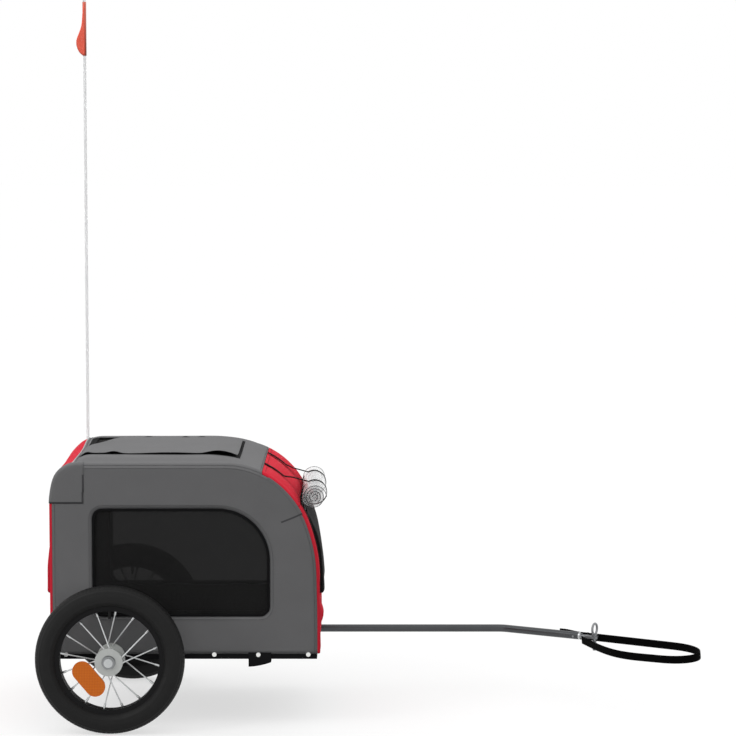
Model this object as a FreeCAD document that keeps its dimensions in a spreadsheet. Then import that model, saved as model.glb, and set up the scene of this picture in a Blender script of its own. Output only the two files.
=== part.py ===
import FreeCAD, Part
import math
import os
import re
import Sketcher
from FreeCAD import Placement, Rotation, Vector

doc = FreeCAD.newDocument("dog_bike_trailer")
sheet = doc.addObject("Spreadsheet::Sheet", "sizes")

# Driving sizes in millimetres and degrees.
# Lengths along the trailer are measured from the axle, heights from the ground.
SIZES = {
    # wheels
    "wheel_radius": 150,
    "track": 560,
    "tyre_width": 46,
    "tyre_wall": 4,
    "bead_seat": 0.78,
    "groove_width": 2.5,
    "groove_depth": 1.5,
    "groove_pitch": 7,
    "rim_depth": 12,
    "rim_base": 3,
    "rim_wall": 2,
    "hub_length": 62,
    "hub_flange_radius": 28,
    "hub_flange": 4,
    "hub_barrel_radius": 17,
    "hub_bore_radius": 9,
    "bearing_radius": 14,
    "bearing_width": 10,
    "running_fit": 0.05,
    "axle_radius": 6,
    "axle_grip": 80,
    "axle_collar_radius": 9,
    "axle_head_radius": 13,
    "axle_head": 6,
    "button_radius": 9,
    "button_rise": 2,
    "button_travel": 3,
    "spoke_radius": 1.4,
    "spoke_circle": 24,
    "spoke_spread": 11.25,
    "spoke_twist": 22.5,
    "spoke_phase": -4,
    "spoke_rim_offset": 3,
    "nipple_radius": 2.3,
    "nipple_length": 12,
    "valve_radius": 3,
    "valve_length": 22,
    "valve_base": 2,
    "reflector_length": 80,
    "reflector_height": 40,
    "reflector_depth": 5,
    "reflector_circle": 52,
    "reflector_angle": 230,
    "reflector_clip": 3,
    # cabin cloth
    "gap": 0.3,
    "overrun": 1,
    "cloth": 3,
    "mesh": 1.5,
    "wheel_room": 72,
    "body_back": 127,
    "roof_height": 537,
    "rear_bend": 60,
    "roof_front": 229,
    "front_bend": 168,
    "front_turn": 75,
    "bow_foot": 226,
    "cloth_lift": 11,
    "window_back": 40,
    "window_front": 317,
    "window_bottom": 225,
    "window_drop": 93,
    "window_corner": 16,
    "window_bend": 105,
    "roof_back": 75,
    "band_start": 303,
    "door_margin": 43,
    "door_bottom": 264,
    "door_drop": 107,
    "rear_door_drop": 77,
    "hatch_back": 62,
    "hatch_front": 222,
    "hatch_margin": 86,
    "flap_back": 74,
    "flap_front": 250,
    "flap_lap": 12,
    # frame
    "rail_size": 25,
    "rail_wall": 1.5,
    "axle_drop": 13,
    "plug_length": 12,
    "axle_tube_radius": 12,
    "axle_notch_radius": 10.5,
    "floor_thickness": 6,
    "floor_margin": 2,
    "hoop_radius": 8,
    "tube_wall": 1.5,
    "spigot_length": 30,
    "connector_length": 6,
    "bar_turn": 45,
    "screw_radius": 2,
    "screw_head_radius": 4.5,
    "screw_head": 2.5,
    "screw_length": 9,
    "screw_lift": 10,
    "screw_rear_inset": 28.7,
    "screw_wheel": 105,
    "screw_middle": 205,
    "screw_bracket": 294,
    "screw_front_inset": 17.5,
    # drawbar and hitch
    "bracket_back": 274,
    "bracket_front": 320,
    "bracket_lap": 14,
    "bracket_hang": 15,
    "bracket_nose_lift": 2,
    "bracket_flat": 14,
    "bracket_curve": 60,
    "sheet_metal": 2,
    "guide_back": 205,
    "guide_length": 30,
    "bar_radius": 8,
    "bar_back": 200,
    "bar_bend_at": 807,
    "bar_bend_radius": 40,
    "bar_bend_angle": 30,
    "bar_tail": 184,
    "stem_length": 40,
    "collar_length": 4,
    "tongue_width": 15,
    "tongue_thickness": 6,
    "pin_reach": 36,
    "pin_radius": 4,
    "pin_drop": 25,
    "pin_seat": 0.5,
    "pin_step": 1,
    "pin_flange_radius": 6,
    "pin_flange": 3,
    "pin_neck_radius": 3,
    "pin_neck": 7,
    "ring_radius": 11.5,
    "ring_wire": 2.5,
    "ring_turn": 17,
    "strap_thickness": 2.5,
    "strap_width": 17,
    "strap_hold": 22,
    "strap_reach": 294,
    "strap_tip_radius": 34,
    "strap_side": 4,
    "strap_tilt": 12,
    "rivet_radius": 2.5,
    "rivet_back": 12,
    "rivet_head_radius": 5,
    "rivet_head": 2,
    "knob_at": 284,
    "knob_radius": 15,
    "knob_length": 12,
    "knob_scallop": 5,
    "knob_scallop_circle": 18,
    "stud_radius": 3,
    # flag
    "pole_radius": 3,
    "pole_back": 88,
    "pole_top": 1476,
    "socket_radius": 6.3,
    "socket_drop": 137,
    "socket_length": 120,
    "socket_floor": 4,
    "flag_hoist": 114,
    "flag_length": 176,
    "flag_tip_rise": 25,
    "flag_tip_width": 8,
    "flag_cloth": 1,
    "flag_sleeve": 1.2,
    # rolled rain cover
    "roll_radius": 22,
    "roll_gap": 12,
    "roll_angle": 27,
    "roll_margin": 22,
    "roll_step": 1.8,
    "roll_sheet": 1.2,
    "tie_width": 15,
    "tie_thickness": 1.5,
    "tie_margin": 115,
    "tie_leave": 48,
    "tie_meet": 120,
}

# Sizes that follow from the driving ones.
DERIVED = {
    "half_width": "track / 2 - wheel_room",
    "inner_half": "half_width - cloth - gap",
    "tube_inset": "cloth + gap + hoop_radius",
    "hoop_y": "inner_half - hoop_radius",
    "bend_z": "roof_height - front_bend",
    "front_bow": "front_bend + (bend_z - bow_foot) / cos(front_turn)",
    "bow_x": "roof_front + (front_bend - front_bow) * sin(front_turn)",
    "body_front": "bow_x + front_bow",
    "frame_back": "body_back - cloth - gap",
    "frame_front": "body_front - cloth - gap",
    "screw_rear": "screw_rear_inset - frame_back",
    "screw_front": "frame_front - screw_front_inset",
    "rail_bottom": "wheel_radius - axle_drop",
    "rail_top": "rail_bottom + rail_size",
    "screw_height": "rail_bottom + screw_lift",
    "cloth_bottom": "rail_bottom + cloth_lift",
    "window_top": "roof_height - window_drop",
    "door_width": "2 * (half_width - door_margin)",
    "door_top": "roof_height - door_drop",
    "rear_door_top": "roof_height - rear_door_drop",
    "hatch_width": "2 * (half_width - hatch_margin)",
    "flap_width": "hatch_width + 2 * flap_lap",
    "bracket_top": "rail_bottom + bracket_lap",
    "bracket_drop": "rail_bottom - bracket_hang",
    "bracket_nose": "rail_bottom + bracket_nose_lift",
    "roll_reach": "front_bend + roll_gap + roll_radius",
    "roll_front": "roof_front + roll_reach * cos(roll_angle)",
    "roll_height": "bend_z + roll_reach * sin(roll_angle)",
    "roll_width": "2 * (half_width - roll_margin)",
    "tie_spacing": "half_width - tie_margin",
    "socket_bottom": "roof_height - socket_drop",
    "rail_inside": "inner_half - rail_size",
    "tyre_radius": "tyre_width / 2",
    "tyre_centre": "wheel_radius - tyre_radius",
    "tube_radius": "tyre_radius - tyre_wall",
    "bead_radius": "tyre_centre - bead_seat * tube_radius",
    "bead_half": "tube_radius * sqrt(1 - bead_seat * bead_seat)",
    "rim_half": "bead_half + rim_wall / 2",
    "rim_radius": "bead_radius - gap",
    "rim_inside": "rim_radius - rim_depth",
    "hub_half": "hub_length / 2",
    "head_y": "track / 2 + hub_half + gap",
    "bar_y": "half_width - bar_radius",
    "bar_z": "rail_bottom - sheet_metal - gap - bar_radius",
    "bar_bore": "bar_radius - tube_wall",
    "end_x": "bar_bend_at + bar_tail * cos(bar_bend_angle)",
    "end_y": "bar_y - bar_tail * sin(bar_bend_angle)",
    "strap_base": "bar_radius + gap + strap_thickness / 2",
    "pole_y": "half_width + gap + socket_radius",
    "pole_foot": "socket_bottom + socket_floor + gap",
}
SIDES = {"right": -1, "left": 1}
SPOKE_GROUPS = 4
SCREW_PLACES = ("screw_rear", "screw_wheel", "screw_middle", "screw_bracket", "screw_front")
KNOB_LOBES = 6
ROLL_HALF_TURNS = 7
TREAD_GROOVES = (-1, 0, 1)
FULL_TURN = 360
QUARTER_TURN = 90

for row, (alias, number) in enumerate(SIZES.items(), 1):
    sheet.set(f"A{row}", alias)
    sheet.set(f"B{row}", str(number))
    sheet.setAlias(f"B{row}", alias)
doc.recompute()

WORD = re.compile(r"[a-z_]+")


def full(text):
    """Turn the words of a formula into references to the sheet."""
    def swap(match):
        word = match.group()
        if word in DERIVED:
            return "(" + full(DERIVED[word]) + ")"
        if word in SIZES:
            return "sizes." + word
        return word
    return WORD.sub(swap, text)


def value(text):
    return float(sheet.evalExpression(full(text)))


def bind(piece, **formulas):
    for name, text in formulas.items():
        piece.setExpression(name, full(text))
    return piece


def place(piece, x="0", y="0", z="0"):
    for axis, text in zip("xyz", (x, y, z)):
        piece.setExpression(".Placement.Base." + axis, full(text))
    return piece


def along(piece, direction):
    """Point the long axis of a round piece along a world direction."""
    piece.Placement.Rotation = Rotation(Vector(0, 0, 1), direction)
    return piece


X_AXIS = Vector(1, 0, 0)
Y_AXIS = Vector(0, 1, 0)
Z_AXIS = Vector(0, 0, 1)


def box(name, x, y, z):
    """A box between two formulas along each axis."""
    piece = doc.addObject("Part::Box", name)
    bind(piece, Length=f"({x[1]}) - ({x[0]})", Width=f"({y[1]}) - ({y[0]})",
         Height=f"({z[1]}) - ({z[0]})")
    return place(piece, x[0], y[0], z[0])


def rod(name, radius, length, direction, x="0", y="0", z="0"):
    piece = along(doc.addObject("Part::Cylinder", name), direction)
    bind(piece, Radius=radius, Height=length)
    return place(piece, x, y, z)


def cut(name, base, *tools):
    for number, tool in enumerate(tools):
        last = number == len(tools) - 1
        piece = doc.addObject("Part::Cut", name if last else f"{name}_cut_{number}")
        piece.Base = base
        piece.Tool = tool
        base = piece
    return base


def common(name, base, tool):
    piece = doc.addObject("Part::Common", name)
    piece.Base = base
    piece.Tool = tool
    return piece


def fuse(name, *shapes):
    piece = doc.addObject("Part::MultiFuse", name)
    piece.Shapes = list(shapes)
    return piece


def group(name, *shapes):
    piece = doc.addObject("Part::Compound", name)
    piece.Links = list(shapes)
    return piece


def side_span(sign, near, far):
    """The two y formulas of a piece that lies between near and far from the middle."""
    return (near, far) if sign > 0 else (f"-({far})", f"-({near})")


def side_rod(name, sign, radius, near, far, x, z):
    return rod(name, radius, f"({far}) - ({near})", Y_AXIS * sign, x, f"{sign} * ({near})", z)


# Bodies and sketches.
def sketch_on(body, name, plane):
    sketch = body.newObject("Sketcher::SketchObject", name)
    support = [item for item in body.Origin.OriginFeatures if item.Role == plane]
    sketch.AttachmentSupport = [(support[0], "")]
    sketch.MapMode = "FlatFace"
    return sketch


def fix(sketch, kind, edge, point, axis_texts):
    for axis, text in zip("XY", axis_texts):
        amount = value(text)
        number = sketch.addConstraint(Sketcher.Constraint(kind + axis, -1, 1, edge, point, amount))
        sketch.setExpression(f"Constraints[{number}]", full(text))


def arc_between(start, end, radius, clockwise):
    """The shorter arc from start to end, and which of its ends is the start."""
    middle = (start + end) * 0.5
    chord = end - start
    rise = math.sqrt(max(radius ** 2 - (chord.Length / 2) ** 2, 0))
    normal = Vector(-chord.y, chord.x, 0).normalize()
    centre = middle + normal * (-rise if clockwise else rise)
    first, second = (end, start) if clockwise else (start, end)
    angles = [math.atan2(point.y - centre.y, point.x - centre.x) for point in (first, second)]
    arc = Part.ArcOfCircle(Part.Circle(centre, Z_AXIS, radius), angles[0], angles[1])
    return arc, (2 if clockwise else 1)


def outline(sketch, corners, arcs=None, closed=True):
    """Lines and arcs through corners given as formulas; arcs maps a corner to (radius, clockwise)."""
    arcs = arcs or {}
    points = [Vector(value(x), value(y), 0) for x, y in corners]
    count = len(points) if closed else len(points) - 1
    starts = []
    for index in range(count):
        begin = points[index]
        end = points[(index + 1) % len(points)]
        if index in arcs:
            radius, clockwise = arcs[index]
            shape, start_point = arc_between(begin, end, value(radius), clockwise)
        else:
            shape, start_point = Part.LineSegment(begin, end), 1
        edge = sketch.addGeometry(shape)
        starts.append((edge, start_point))
    for index, (edge, start_point) in enumerate(starts):
        fix(sketch, "Distance", edge, start_point, corners[index])
        end_point = 3 - start_point
        following = (index + 1) % len(starts)
        if closed or following:
            joined = Sketcher.Constraint("Coincident", edge, end_point, *starts[following])
            sketch.addConstraint(joined)
        else:
            fix(sketch, "Distance", edge, end_point, corners[-1])
    for index, (radius, clockwise) in arcs.items():
        edge = starts[index][0]
        number = sketch.addConstraint(Sketcher.Constraint("Radius", edge, value(radius)))
        sketch.setExpression(f"Constraints[{number}]", full(radius))
    return sketch


def circle(sketch, radius, x="0", y="0"):
    centre = Vector(value(x), value(y), 0)
    edge = sketch.addGeometry(Part.Circle(centre, Z_AXIS, value(radius)))
    number = sketch.addConstraint(Sketcher.Constraint("Radius", edge, value(radius)))
    sketch.setExpression(f"Constraints[{number}]", full(radius))
    if x == "0" and y == "0":
        sketch.addConstraint(Sketcher.Constraint("Coincident", edge, 3, -1, 1))
    else:
        fix(sketch, "Distance", edge, 3, (x, y))
    return sketch


def feature(body, kind, name, sketch, **formulas):
    item = body.newObject("PartDesign::" + kind, name)
    item.Profile = sketch
    sketch.Visibility = False
    return bind(item, **formulas)


def new_body(name):
    return doc.addObject("PartDesign::Body", name)


def turned(name, corners, arcs=None):
    """A body revolved about its own y axis, from corners (radius, along the axle)."""
    body = new_body(name)
    sketch = outline(sketch_on(body, name + "_section", "XY_Plane"), corners, arcs)
    ring = feature(body, "Revolution", name + "_ring", sketch)
    ring.ReferenceAxis = (sketch, ["V_Axis"])
    ring.Angle = FULL_TURN
    return body


def plate(name, corners, arcs, thickness, inner_y, sign):
    """A flat piece in a vertical plane, its inner face at inner_y from the middle."""
    body = new_body(name)
    sketch = outline(sketch_on(body, name + "_outline", "XZ_Plane"), corners, arcs)
    feature(body, "Pad", name + "_sheet", sketch, Length=thickness)
    offset = inner_y if sign < 0 else f"{inner_y} + {thickness}"
    return place(body, y=f"{sign} * ({offset})")


def bent_tube(name, plane, corners, arcs, section_plane, x="0", y="0", z="0"):
    """A hollow tube along a path that starts at the body's own origin."""
    body = new_body(name)
    path = outline(sketch_on(body, name + "_path", plane), corners, arcs, closed=False)
    section = sketch_on(body, name + "_section", section_plane)
    circle(section, "hoop_radius" if plane == "XZ_Plane" else "bar_radius")
    circle(section, "hoop_radius - tube_wall" if plane == "XZ_Plane" else "bar_bore")
    pipe = feature(body, "AdditivePipe", name + "_tube", section)
    pipe.Spine = path
    path.Visibility = False
    return place(body, x, y, z)


pieces = {}


def keep(name, piece):
    piece.Label = name
    pieces[name] = piece
    return piece


# Cabin outline, moved inward by an inset.
def profile(inset, bottom):
    turn_x = f"(front_bend - ({inset})) * sin(front_turn)"
    turn_z = f"(front_bend - ({inset})) * cos(front_turn)"
    corners = [
        (f"-body_back + ({inset})", bottom),
        (f"-body_back + ({inset})", "roof_height - rear_bend"),
        ("-body_back + rear_bend", f"roof_height - ({inset})"),
        ("roof_front", f"roof_height - ({inset})"),
        (f"roof_front + {turn_x}", f"bend_z + {turn_z}"),
        (f"body_front - ({inset})", "bow_foot"),
        (f"body_front - ({inset})", bottom),
    ]
    arcs = {
        1: (f"rear_bend - ({inset})", True),
        3: (f"front_bend - ({inset})", True),
        4: (f"front_bow - ({inset})", True),
    }
    return corners, arcs


def window_outline(inset):
    corner = f"(window_corner - {inset})"
    bend = f"(window_bend - {inset})"
    back, front = f"-window_back + {inset}", f"window_front - {inset}"
    low, high = f"window_bottom + {inset}", f"window_top - {inset}"
    corners = [
        (f"{back} + {corner}", low),
        (f"{front} - {corner}", low),
        (front, f"{low} + {corner}"),
        (front, f"{high} - {bend}"),
        (f"{front} - {bend}", high),
        (f"{back} + {corner}", high),
        (back, f"{high} - {corner}"),
        (back, f"{low} + {corner}"),
    ]
    arcs = {1: (corner, False), 3: (bend, False), 5: (corner, False), 7: (corner, False)}
    return corners, arcs


# Frame of square rails with the floor.
def build_side_rail(side, sign):
    outer = box(side + "_rail_bar", ("-frame_back", "frame_front"),
                side_span(sign, "rail_inside", "inner_half"), ("rail_bottom", "rail_top"))
    inner = box(side + "_rail_bore", ("-frame_back - overrun", "frame_front + overrun"),
                side_span(sign, "rail_inside + rail_wall", "inner_half - rail_wall"),
                ("rail_bottom + rail_wall", "rail_top - rail_wall"))
    axle_hole = side_rod(side + "_rail_axle_hole", sign, "axle_radius + running_fit",
                         "rail_inside - overrun", "inner_half + overrun", "0", "wheel_radius")
    holes = [side_rod(f"{side}_rail_screw_hole_{number}", sign, "screw_radius + running_fit",
                      "inner_half - rail_wall - overrun", "inner_half + overrun", at, "screw_height")
             for number, at in enumerate(SCREW_PLACES)]
    keep(side + "_side_rail", cut(side + "_side_rail", outer, inner, axle_hole, *holes))


def build_cross_rail(name, x):
    outer = box(name + "_bar", x, ("-rail_inside", "rail_inside"), ("rail_bottom", "rail_top"))
    inner = box(name + "_bore", (x[0] + " + rail_wall", x[1] + " - rail_wall"),
                ("-rail_inside - overrun", "rail_inside + overrun"),
                ("rail_bottom + rail_wall", "rail_top - rail_wall"))
    keep(name, cut(name, outer, inner))


def build_rail_plugs():
    ends = {"back": ("-frame_back", "-frame_back + plug_length"),
            "front": ("frame_front - plug_length", "frame_front")}
    inset = "rail_wall + gap"
    plugs = [box(f"{side}_{end}_plug", span,
                 side_span(sign, f"rail_inside + {inset}", f"inner_half - ({inset})"),
                 (f"rail_bottom + {inset}", f"rail_top - ({inset})"))
             for side, sign in SIDES.items() for end, span in ends.items()]
    keep("rail_end_plugs", group("rail_end_plugs", *plugs))


def build_axle_tube():
    outer = rod("axle_tube_bar", "axle_tube_radius", "2 * rail_inside", Y_AXIS,
                "0", "-rail_inside", "wheel_radius")
    bore = rod("axle_tube_bore", "axle_radius + running_fit", "2 * (rail_inside + overrun)", Y_AXIS,
               "0", "-rail_inside - overrun", "wheel_radius")
    keep("axle_tube", cut("axle_tube", outer, bore))


def build_floor():
    half = "hoop_y - hoop_radius - floor_margin"
    keep("floor_board", box("floor_board", ("-frame_back", "frame_front"),
                            (f"-({half})", half), ("rail_top", "rail_top + floor_thickness")))


# Bent hoops and the bars between them.
def build_hoop(side, sign):
    corners, arcs = profile("tube_inset", "rail_top")
    start_x, start_z = corners[0]
    path = [(f"({x}) - ({start_x})", f"({z}) - ({start_z})") for x, z in corners]
    body = bent_tube(side + "_hoop", "XZ_Plane", path, arcs, "XY_Plane",
                     start_x, f"{sign} * hoop_y", start_z)
    keep(side + "_hoop", body)


def build_spigots():
    legs = ("-body_back + tube_inset", "body_front - tube_inset")
    pins = [rod(f"{side}_spigot_{number}", "hoop_radius - tube_wall - gap", "spigot_length", Z_AXIS,
                leg, f"{sign} * hoop_y", "rail_top")
            for side, sign in SIDES.items() for number, leg in enumerate(legs)]
    keep("hoop_spigots", group("hoop_spigots", *pins))


TOP_BARS = {
    "rear_top_bar": ("-body_back + rear_bend - (rear_bend - tube_inset) * sin(bar_turn)",
                     "roof_height - rear_bend + (rear_bend - tube_inset) * cos(bar_turn)"),
    "front_top_bar": ("roof_front + (front_bend - tube_inset) * sin(bar_turn)",
                      "bend_z + (front_bend - tube_inset) * cos(bar_turn)"),
}


def build_top_bars():
    face = "hoop_y - hoop_radius - gap"
    end = f"{face} - connector_length"
    fittings = []
    for name, (x, z) in TOP_BARS.items():
        outer = rod(name + "_outer", "hoop_radius", f"2 * ({end})", Y_AXIS, x, f"-({end})", z)
        bore = rod(name + "_bore", "hoop_radius - tube_wall", f"2 * ({end} + overrun)", Y_AXIS,
                   x, f"-({end}) - overrun", z)
        keep(name, cut(name, outer, bore))
        for side, sign in SIDES.items():
            cap = side_rod(f"{name}_{side}_cap", sign, "hoop_radius", f"{end} + gap", face, x, z)
            spigot = side_rod(f"{name}_{side}_spigot", sign, "hoop_radius - tube_wall - gap",
                              f"{end} - spigot_length", face, x, z)
            fittings.append(fuse(f"{name}_{side}_fitting", cap, spigot))
    keep("bar_connectors", group("bar_connectors", *fittings))


def build_screws():
    screws = []
    for side, sign in SIDES.items():
        for number, at in enumerate(SCREW_PLACES):
            plate_under = " + sheet_metal + gap" if at == "screw_bracket" else ""
            seat = "half_width + gap" + plate_under
            name = f"{side}_screw_{number}"
            head = side_rod(name + "_head", sign, "screw_head_radius", seat,
                            f"{seat} + screw_head", at, "screw_height")
            shank = side_rod(name + "_shank", sign, "screw_radius", f"{seat} - screw_length",
                             seat, at, "screw_height")
            screws.append(fuse(name, head, shank))
    keep("rail_screws", group("rail_screws", *screws))


# Cabin cloth.
def build_wall(side, sign):
    corners, arcs = profile("0", "cloth_bottom")
    sheet_body = plate(side + "_wall_sheet", corners, arcs, "cloth", "half_width - cloth", sign)
    corners, arcs = window_outline("0")
    hole = outline(sketch_on(sheet_body, side + "_window_hole", "XZ_Plane"), corners, arcs)
    pocket = feature(sheet_body, "Pocket", side + "_window_cut", hole, Length="cloth")
    pocket.Reversed = True
    notch = side_rod(side + "_axle_notch", sign, "axle_notch_radius", "inner_half", "half_width + overrun",
                     "0", "wheel_radius")
    holes = [side_rod(f"{side}_wall_screw_hole_{number}", sign, "screw_radius + running_fit",
                      "inner_half", "half_width + overrun", at, "screw_height")
             for number, at in enumerate(SCREW_PLACES)]
    keep(side + "_wall", cut(side + "_wall", sheet_body, notch, *holes))
    corners, arcs = window_outline("gap")
    inner = "half_width - cloth / 2 - mesh / 2"
    keep(side + "_window", plate(side + "_window", corners, arcs, "mesh", inner, sign))


def build_cloth_strip():
    """The strip of cloth over the hoops, from the rear foot over the roof to the front foot."""
    body = new_body("cloth_strip")
    outer, outer_arcs = profile("0", "cloth_bottom")
    inner, inner_arcs = profile("cloth", "cloth_bottom")
    corners = outer + inner[::-1]
    arcs = dict(outer_arcs)
    for index, (radius, clockwise) in inner_arcs.items():
        arcs[2 * len(outer) - 2 - index] = (radius, not clockwise)
    section = outline(sketch_on(body, "cloth_strip_section", "XZ_Plane"), corners, arcs)
    feature(body, "Pad", "cloth_strip_sheet", section, Length="2 * inner_half")
    return place(body, y="inner_half")


FAR = "2 * body_front"
FULL_SPAN = ("-half_width", "half_width")
FULL_HEIGHT = ("0", "2 * roof_height")


def door_span(margin):
    return (f"-door_width / 2 + {margin}", f"door_width / 2 - {margin}")


def build_strip_panels(strip):
    def part_of(name, x, y, z):
        return common(name, strip, box(name + "_region", x, y, z))

    rear = part_of("rear_cloth", (f"-({FAR})", "-roof_back"), FULL_SPAN, FULL_HEIGHT)
    rear_hole = box("rear_door_hole", (f"-({FAR})", "0"), door_span("0"),
                    ("door_bottom", "rear_door_top"))
    keep("rear_panel", cut("rear_panel", rear, rear_hole))
    keep("rear_door", part_of("rear_door", (f"-({FAR})", "0"), door_span("gap"),
                              ("door_bottom + gap", "rear_door_top - gap")))

    roof = part_of("roof_cloth", ("-roof_back + gap", "band_start"), FULL_SPAN, FULL_HEIGHT)
    hatch = box("hatch_hole", ("-hatch_back", "hatch_front"),
                ("-hatch_width / 2", "hatch_width / 2"), FULL_HEIGHT)
    keep("roof_panel", cut("roof_panel", roof, hatch))
    keep("front_band", part_of("front_band", ("band_start + gap", FAR), FULL_SPAN,
                               ("door_top", "2 * roof_height")))

    lower = part_of("front_cloth", ("roof_front", FAR), FULL_SPAN, ("0", "door_top - gap"))
    front_hole = box("front_door_hole", ("roof_front", FAR), door_span("0"), ("door_bottom", FAR))
    keep("front_panel", cut("front_panel", lower, front_hole))
    keep("front_door", part_of("front_door", ("roof_front", FAR), door_span("gap"),
                               ("door_bottom + gap", "door_top - gap")))


def build_roof_hatch():
    middle = "roof_height - cloth / 2"
    keep("roof_mesh", box("roof_mesh", ("-hatch_back + gap", "hatch_front - gap"),
                          ("-hatch_width / 2 + gap", "hatch_width / 2 - gap"),
                          (f"{middle} - mesh / 2", f"{middle} + mesh / 2")))
    keep("roof_flap", box("roof_flap", ("-flap_back", "flap_front"),
                          ("-flap_width / 2", "flap_width / 2"),
                          ("roof_height + gap", "roof_height + gap + cloth")))


# Rolled rain cover and its two ties.
def build_rain_cover():
    """A sheet rolled up as half turns about two alternating centres."""
    step, sheet_thick = value("roll_step"), value("roll_sheet")
    radius = value("roll_radius")

    def half_turn(index, thickness):
        centre = Vector(-step * (index % 2), 0, 0)
        size = radius - index * step - thickness
        sign = 1 if index % 2 == 0 else -1
        points = [centre + Vector(size * sign * x, 0, size * sign * z)
                  for x, z in ((1, 0), (0, 1), (-1, 0))]
        return Part.Arc(*points).toShape()

    outside = [half_turn(index, 0) for index in range(ROLL_HALF_TURNS)]
    inside = [half_turn(index, sheet_thick) for index in range(ROLL_HALF_TURNS)]
    ends = [Part.makeLine(outside[0].firstVertex().Point, inside[0].firstVertex().Point),
            Part.makeLine(outside[-1].lastVertex().Point, inside[-1].lastVertex().Point)]
    wire = Part.Wire(Part.__sortEdges__(outside + inside + ends))
    roll = doc.addObject("Part::Feature", "rain_cover_roll")
    roll.Shape = Part.Face(wire).extrude(Vector(0, value("roll_width"), 0))
    place(roll, "roll_front", "-roll_width / 2", "roll_height")
    keep("rain_cover_roll", roll)


def flat_strip(name, start, end, thickness, width):
    """A straight band from start to end, seen along y, with round ends."""
    run = end - start
    across = Vector(-run.z, 0, run.x).normalize() * (thickness / 2)
    corners = [start + across, end + across, end - across, start - across]
    face = Part.Face(Part.makePolygon(corners + corners[:1]))
    solid = face.extrude(Vector(0, width, 0))
    for point in (start, end):
        solid = solid.fuse(Part.makeCylinder(thickness / 2, width, point, Y_AXIS))
    piece = doc.addObject("Part::Feature", name)
    piece.Shape = solid.removeSplitter()
    return piece


def build_ties():
    thickness, width = value("tie_thickness"), value("tie_width")
    on_band = value("front_bend + gap") + thickness / 2
    on_roll = value("roll_radius + gap") + thickness / 2
    bend_centre = Vector(value("roof_front"), 0, value("bend_z"))
    roll_centre = Vector(value("roll_front"), 0, value("roll_height"))

    def around(centre, radius, angle):
        turn = math.radians(angle)
        return centre + Vector(radius * math.cos(turn), 0, radius * math.sin(turn))

    leave = around(bend_centre, on_band, value("tie_leave"))
    meet = around(roll_centre, on_roll, value("tie_meet"))
    anchor_angle = math.degrees(math.acos(value("(band_start - roof_front) / front_bend")))
    ties = []
    for side, sign in SIDES.items():
        start_y = sign * value("tie_spacing") - width / 2
        shift = Vector(0, start_y, 0)
        ring = Part.makeCylinder(on_roll + thickness / 2, width, roll_centre + shift, Y_AXIS).cut(
            Part.makeCylinder(on_roll - thickness / 2, width, roll_centre + shift, Y_AXIS))
        hug = Part.makeCylinder(on_band + thickness / 2, width, bend_centre + shift, Y_AXIS).cut(
            Part.makeCylinder(on_band - thickness / 2, width, bend_centre + shift, Y_AXIS))
        reach = 2 * on_band
        wedge = Part.Face(Part.makePolygon([
            bend_centre + shift,
            around(bend_centre + shift, reach, anchor_angle),
            around(bend_centre + shift, reach, value("tie_leave")),
            bend_centre + shift,
        ])).extrude(Vector(0, width, 0))
        strip = flat_strip(f"{side}_tie_run", leave + shift, meet + shift, thickness, width)
        hollow = Part.makeCylinder(on_roll - thickness / 2, width, roll_centre + shift, Y_AXIS)
        tie = doc.addObject("Part::Feature", f"{side}_tie")
        tie.Shape = ring.fuse([hug.common(wedge), strip.Shape]).cut(hollow).removeSplitter()
        ties.append(tie)
        doc.removeObject(strip.Name)
    keep("rain_cover_ties", group("rain_cover_ties", *ties))


# Wheels.
def build_wheel(side, sign):
    centre = {"y": f"{sign} * track / 2", "z": "wheel_radius"}
    build_tyre(side, centre)
    build_rim(side, centre)
    build_hub(side, centre)
    build_bearings(side, sign)
    build_spokes(side, sign)
    build_valve(side, sign)
    build_reflector(side, sign)
    build_axle(side, sign)


def build_tyre(side, centre):
    lip = "(rim_half + gap)"
    foot = f"tyre_centre - sqrt(tyre_radius * tyre_radius - {lip} * {lip})"
    crown = "tyre_centre + tube_radius"
    corners = [
        (foot, lip),
        ("bead_radius", lip),
        ("bead_radius", "bead_half"),
        ("tyre_centre", "tube_radius"),
        (crown, "0"),
        ("tyre_centre", "-tube_radius"),
        ("bead_radius", "-bead_half"),
        ("bead_radius", f"-{lip}"),
        (foot, f"-{lip}"),
        ("tyre_centre", "-tyre_radius"),
        ("wheel_radius", "0"),
        ("tyre_centre", "tyre_radius"),
    ]
    arcs = {index: ("tube_radius", True) for index in (2, 3, 4, 5)}
    arcs.update({index: ("tyre_radius", False) for index in (8, 9, 10, 11)})
    body = turned(side + "_tyre", corners, arcs)
    for number, place_of in enumerate(TREAD_GROOVES):
        middle = f"{place_of} * groove_pitch"
        floor = f"tyre_centre + sqrt(tyre_radius * tyre_radius - ({middle}) * ({middle})) - groove_depth"
        low, high = f"{middle} - groove_width / 2", f"{middle} + groove_width / 2"
        outside = "wheel_radius + overrun"
        groove = [(floor, low), (outside, low), (outside, high), (floor, high)]
        sketch = outline(sketch_on(body, f"{side}_groove_{number}", "XY_Plane"), groove)
        channel = feature(body, "Groove", f"{side}_groove_ring_{number}", sketch)
        channel.ReferenceAxis = (sketch, ["V_Axis"])
        channel.Angle = FULL_TURN
    keep(side + "_tyre", place(body, **centre))


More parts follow.
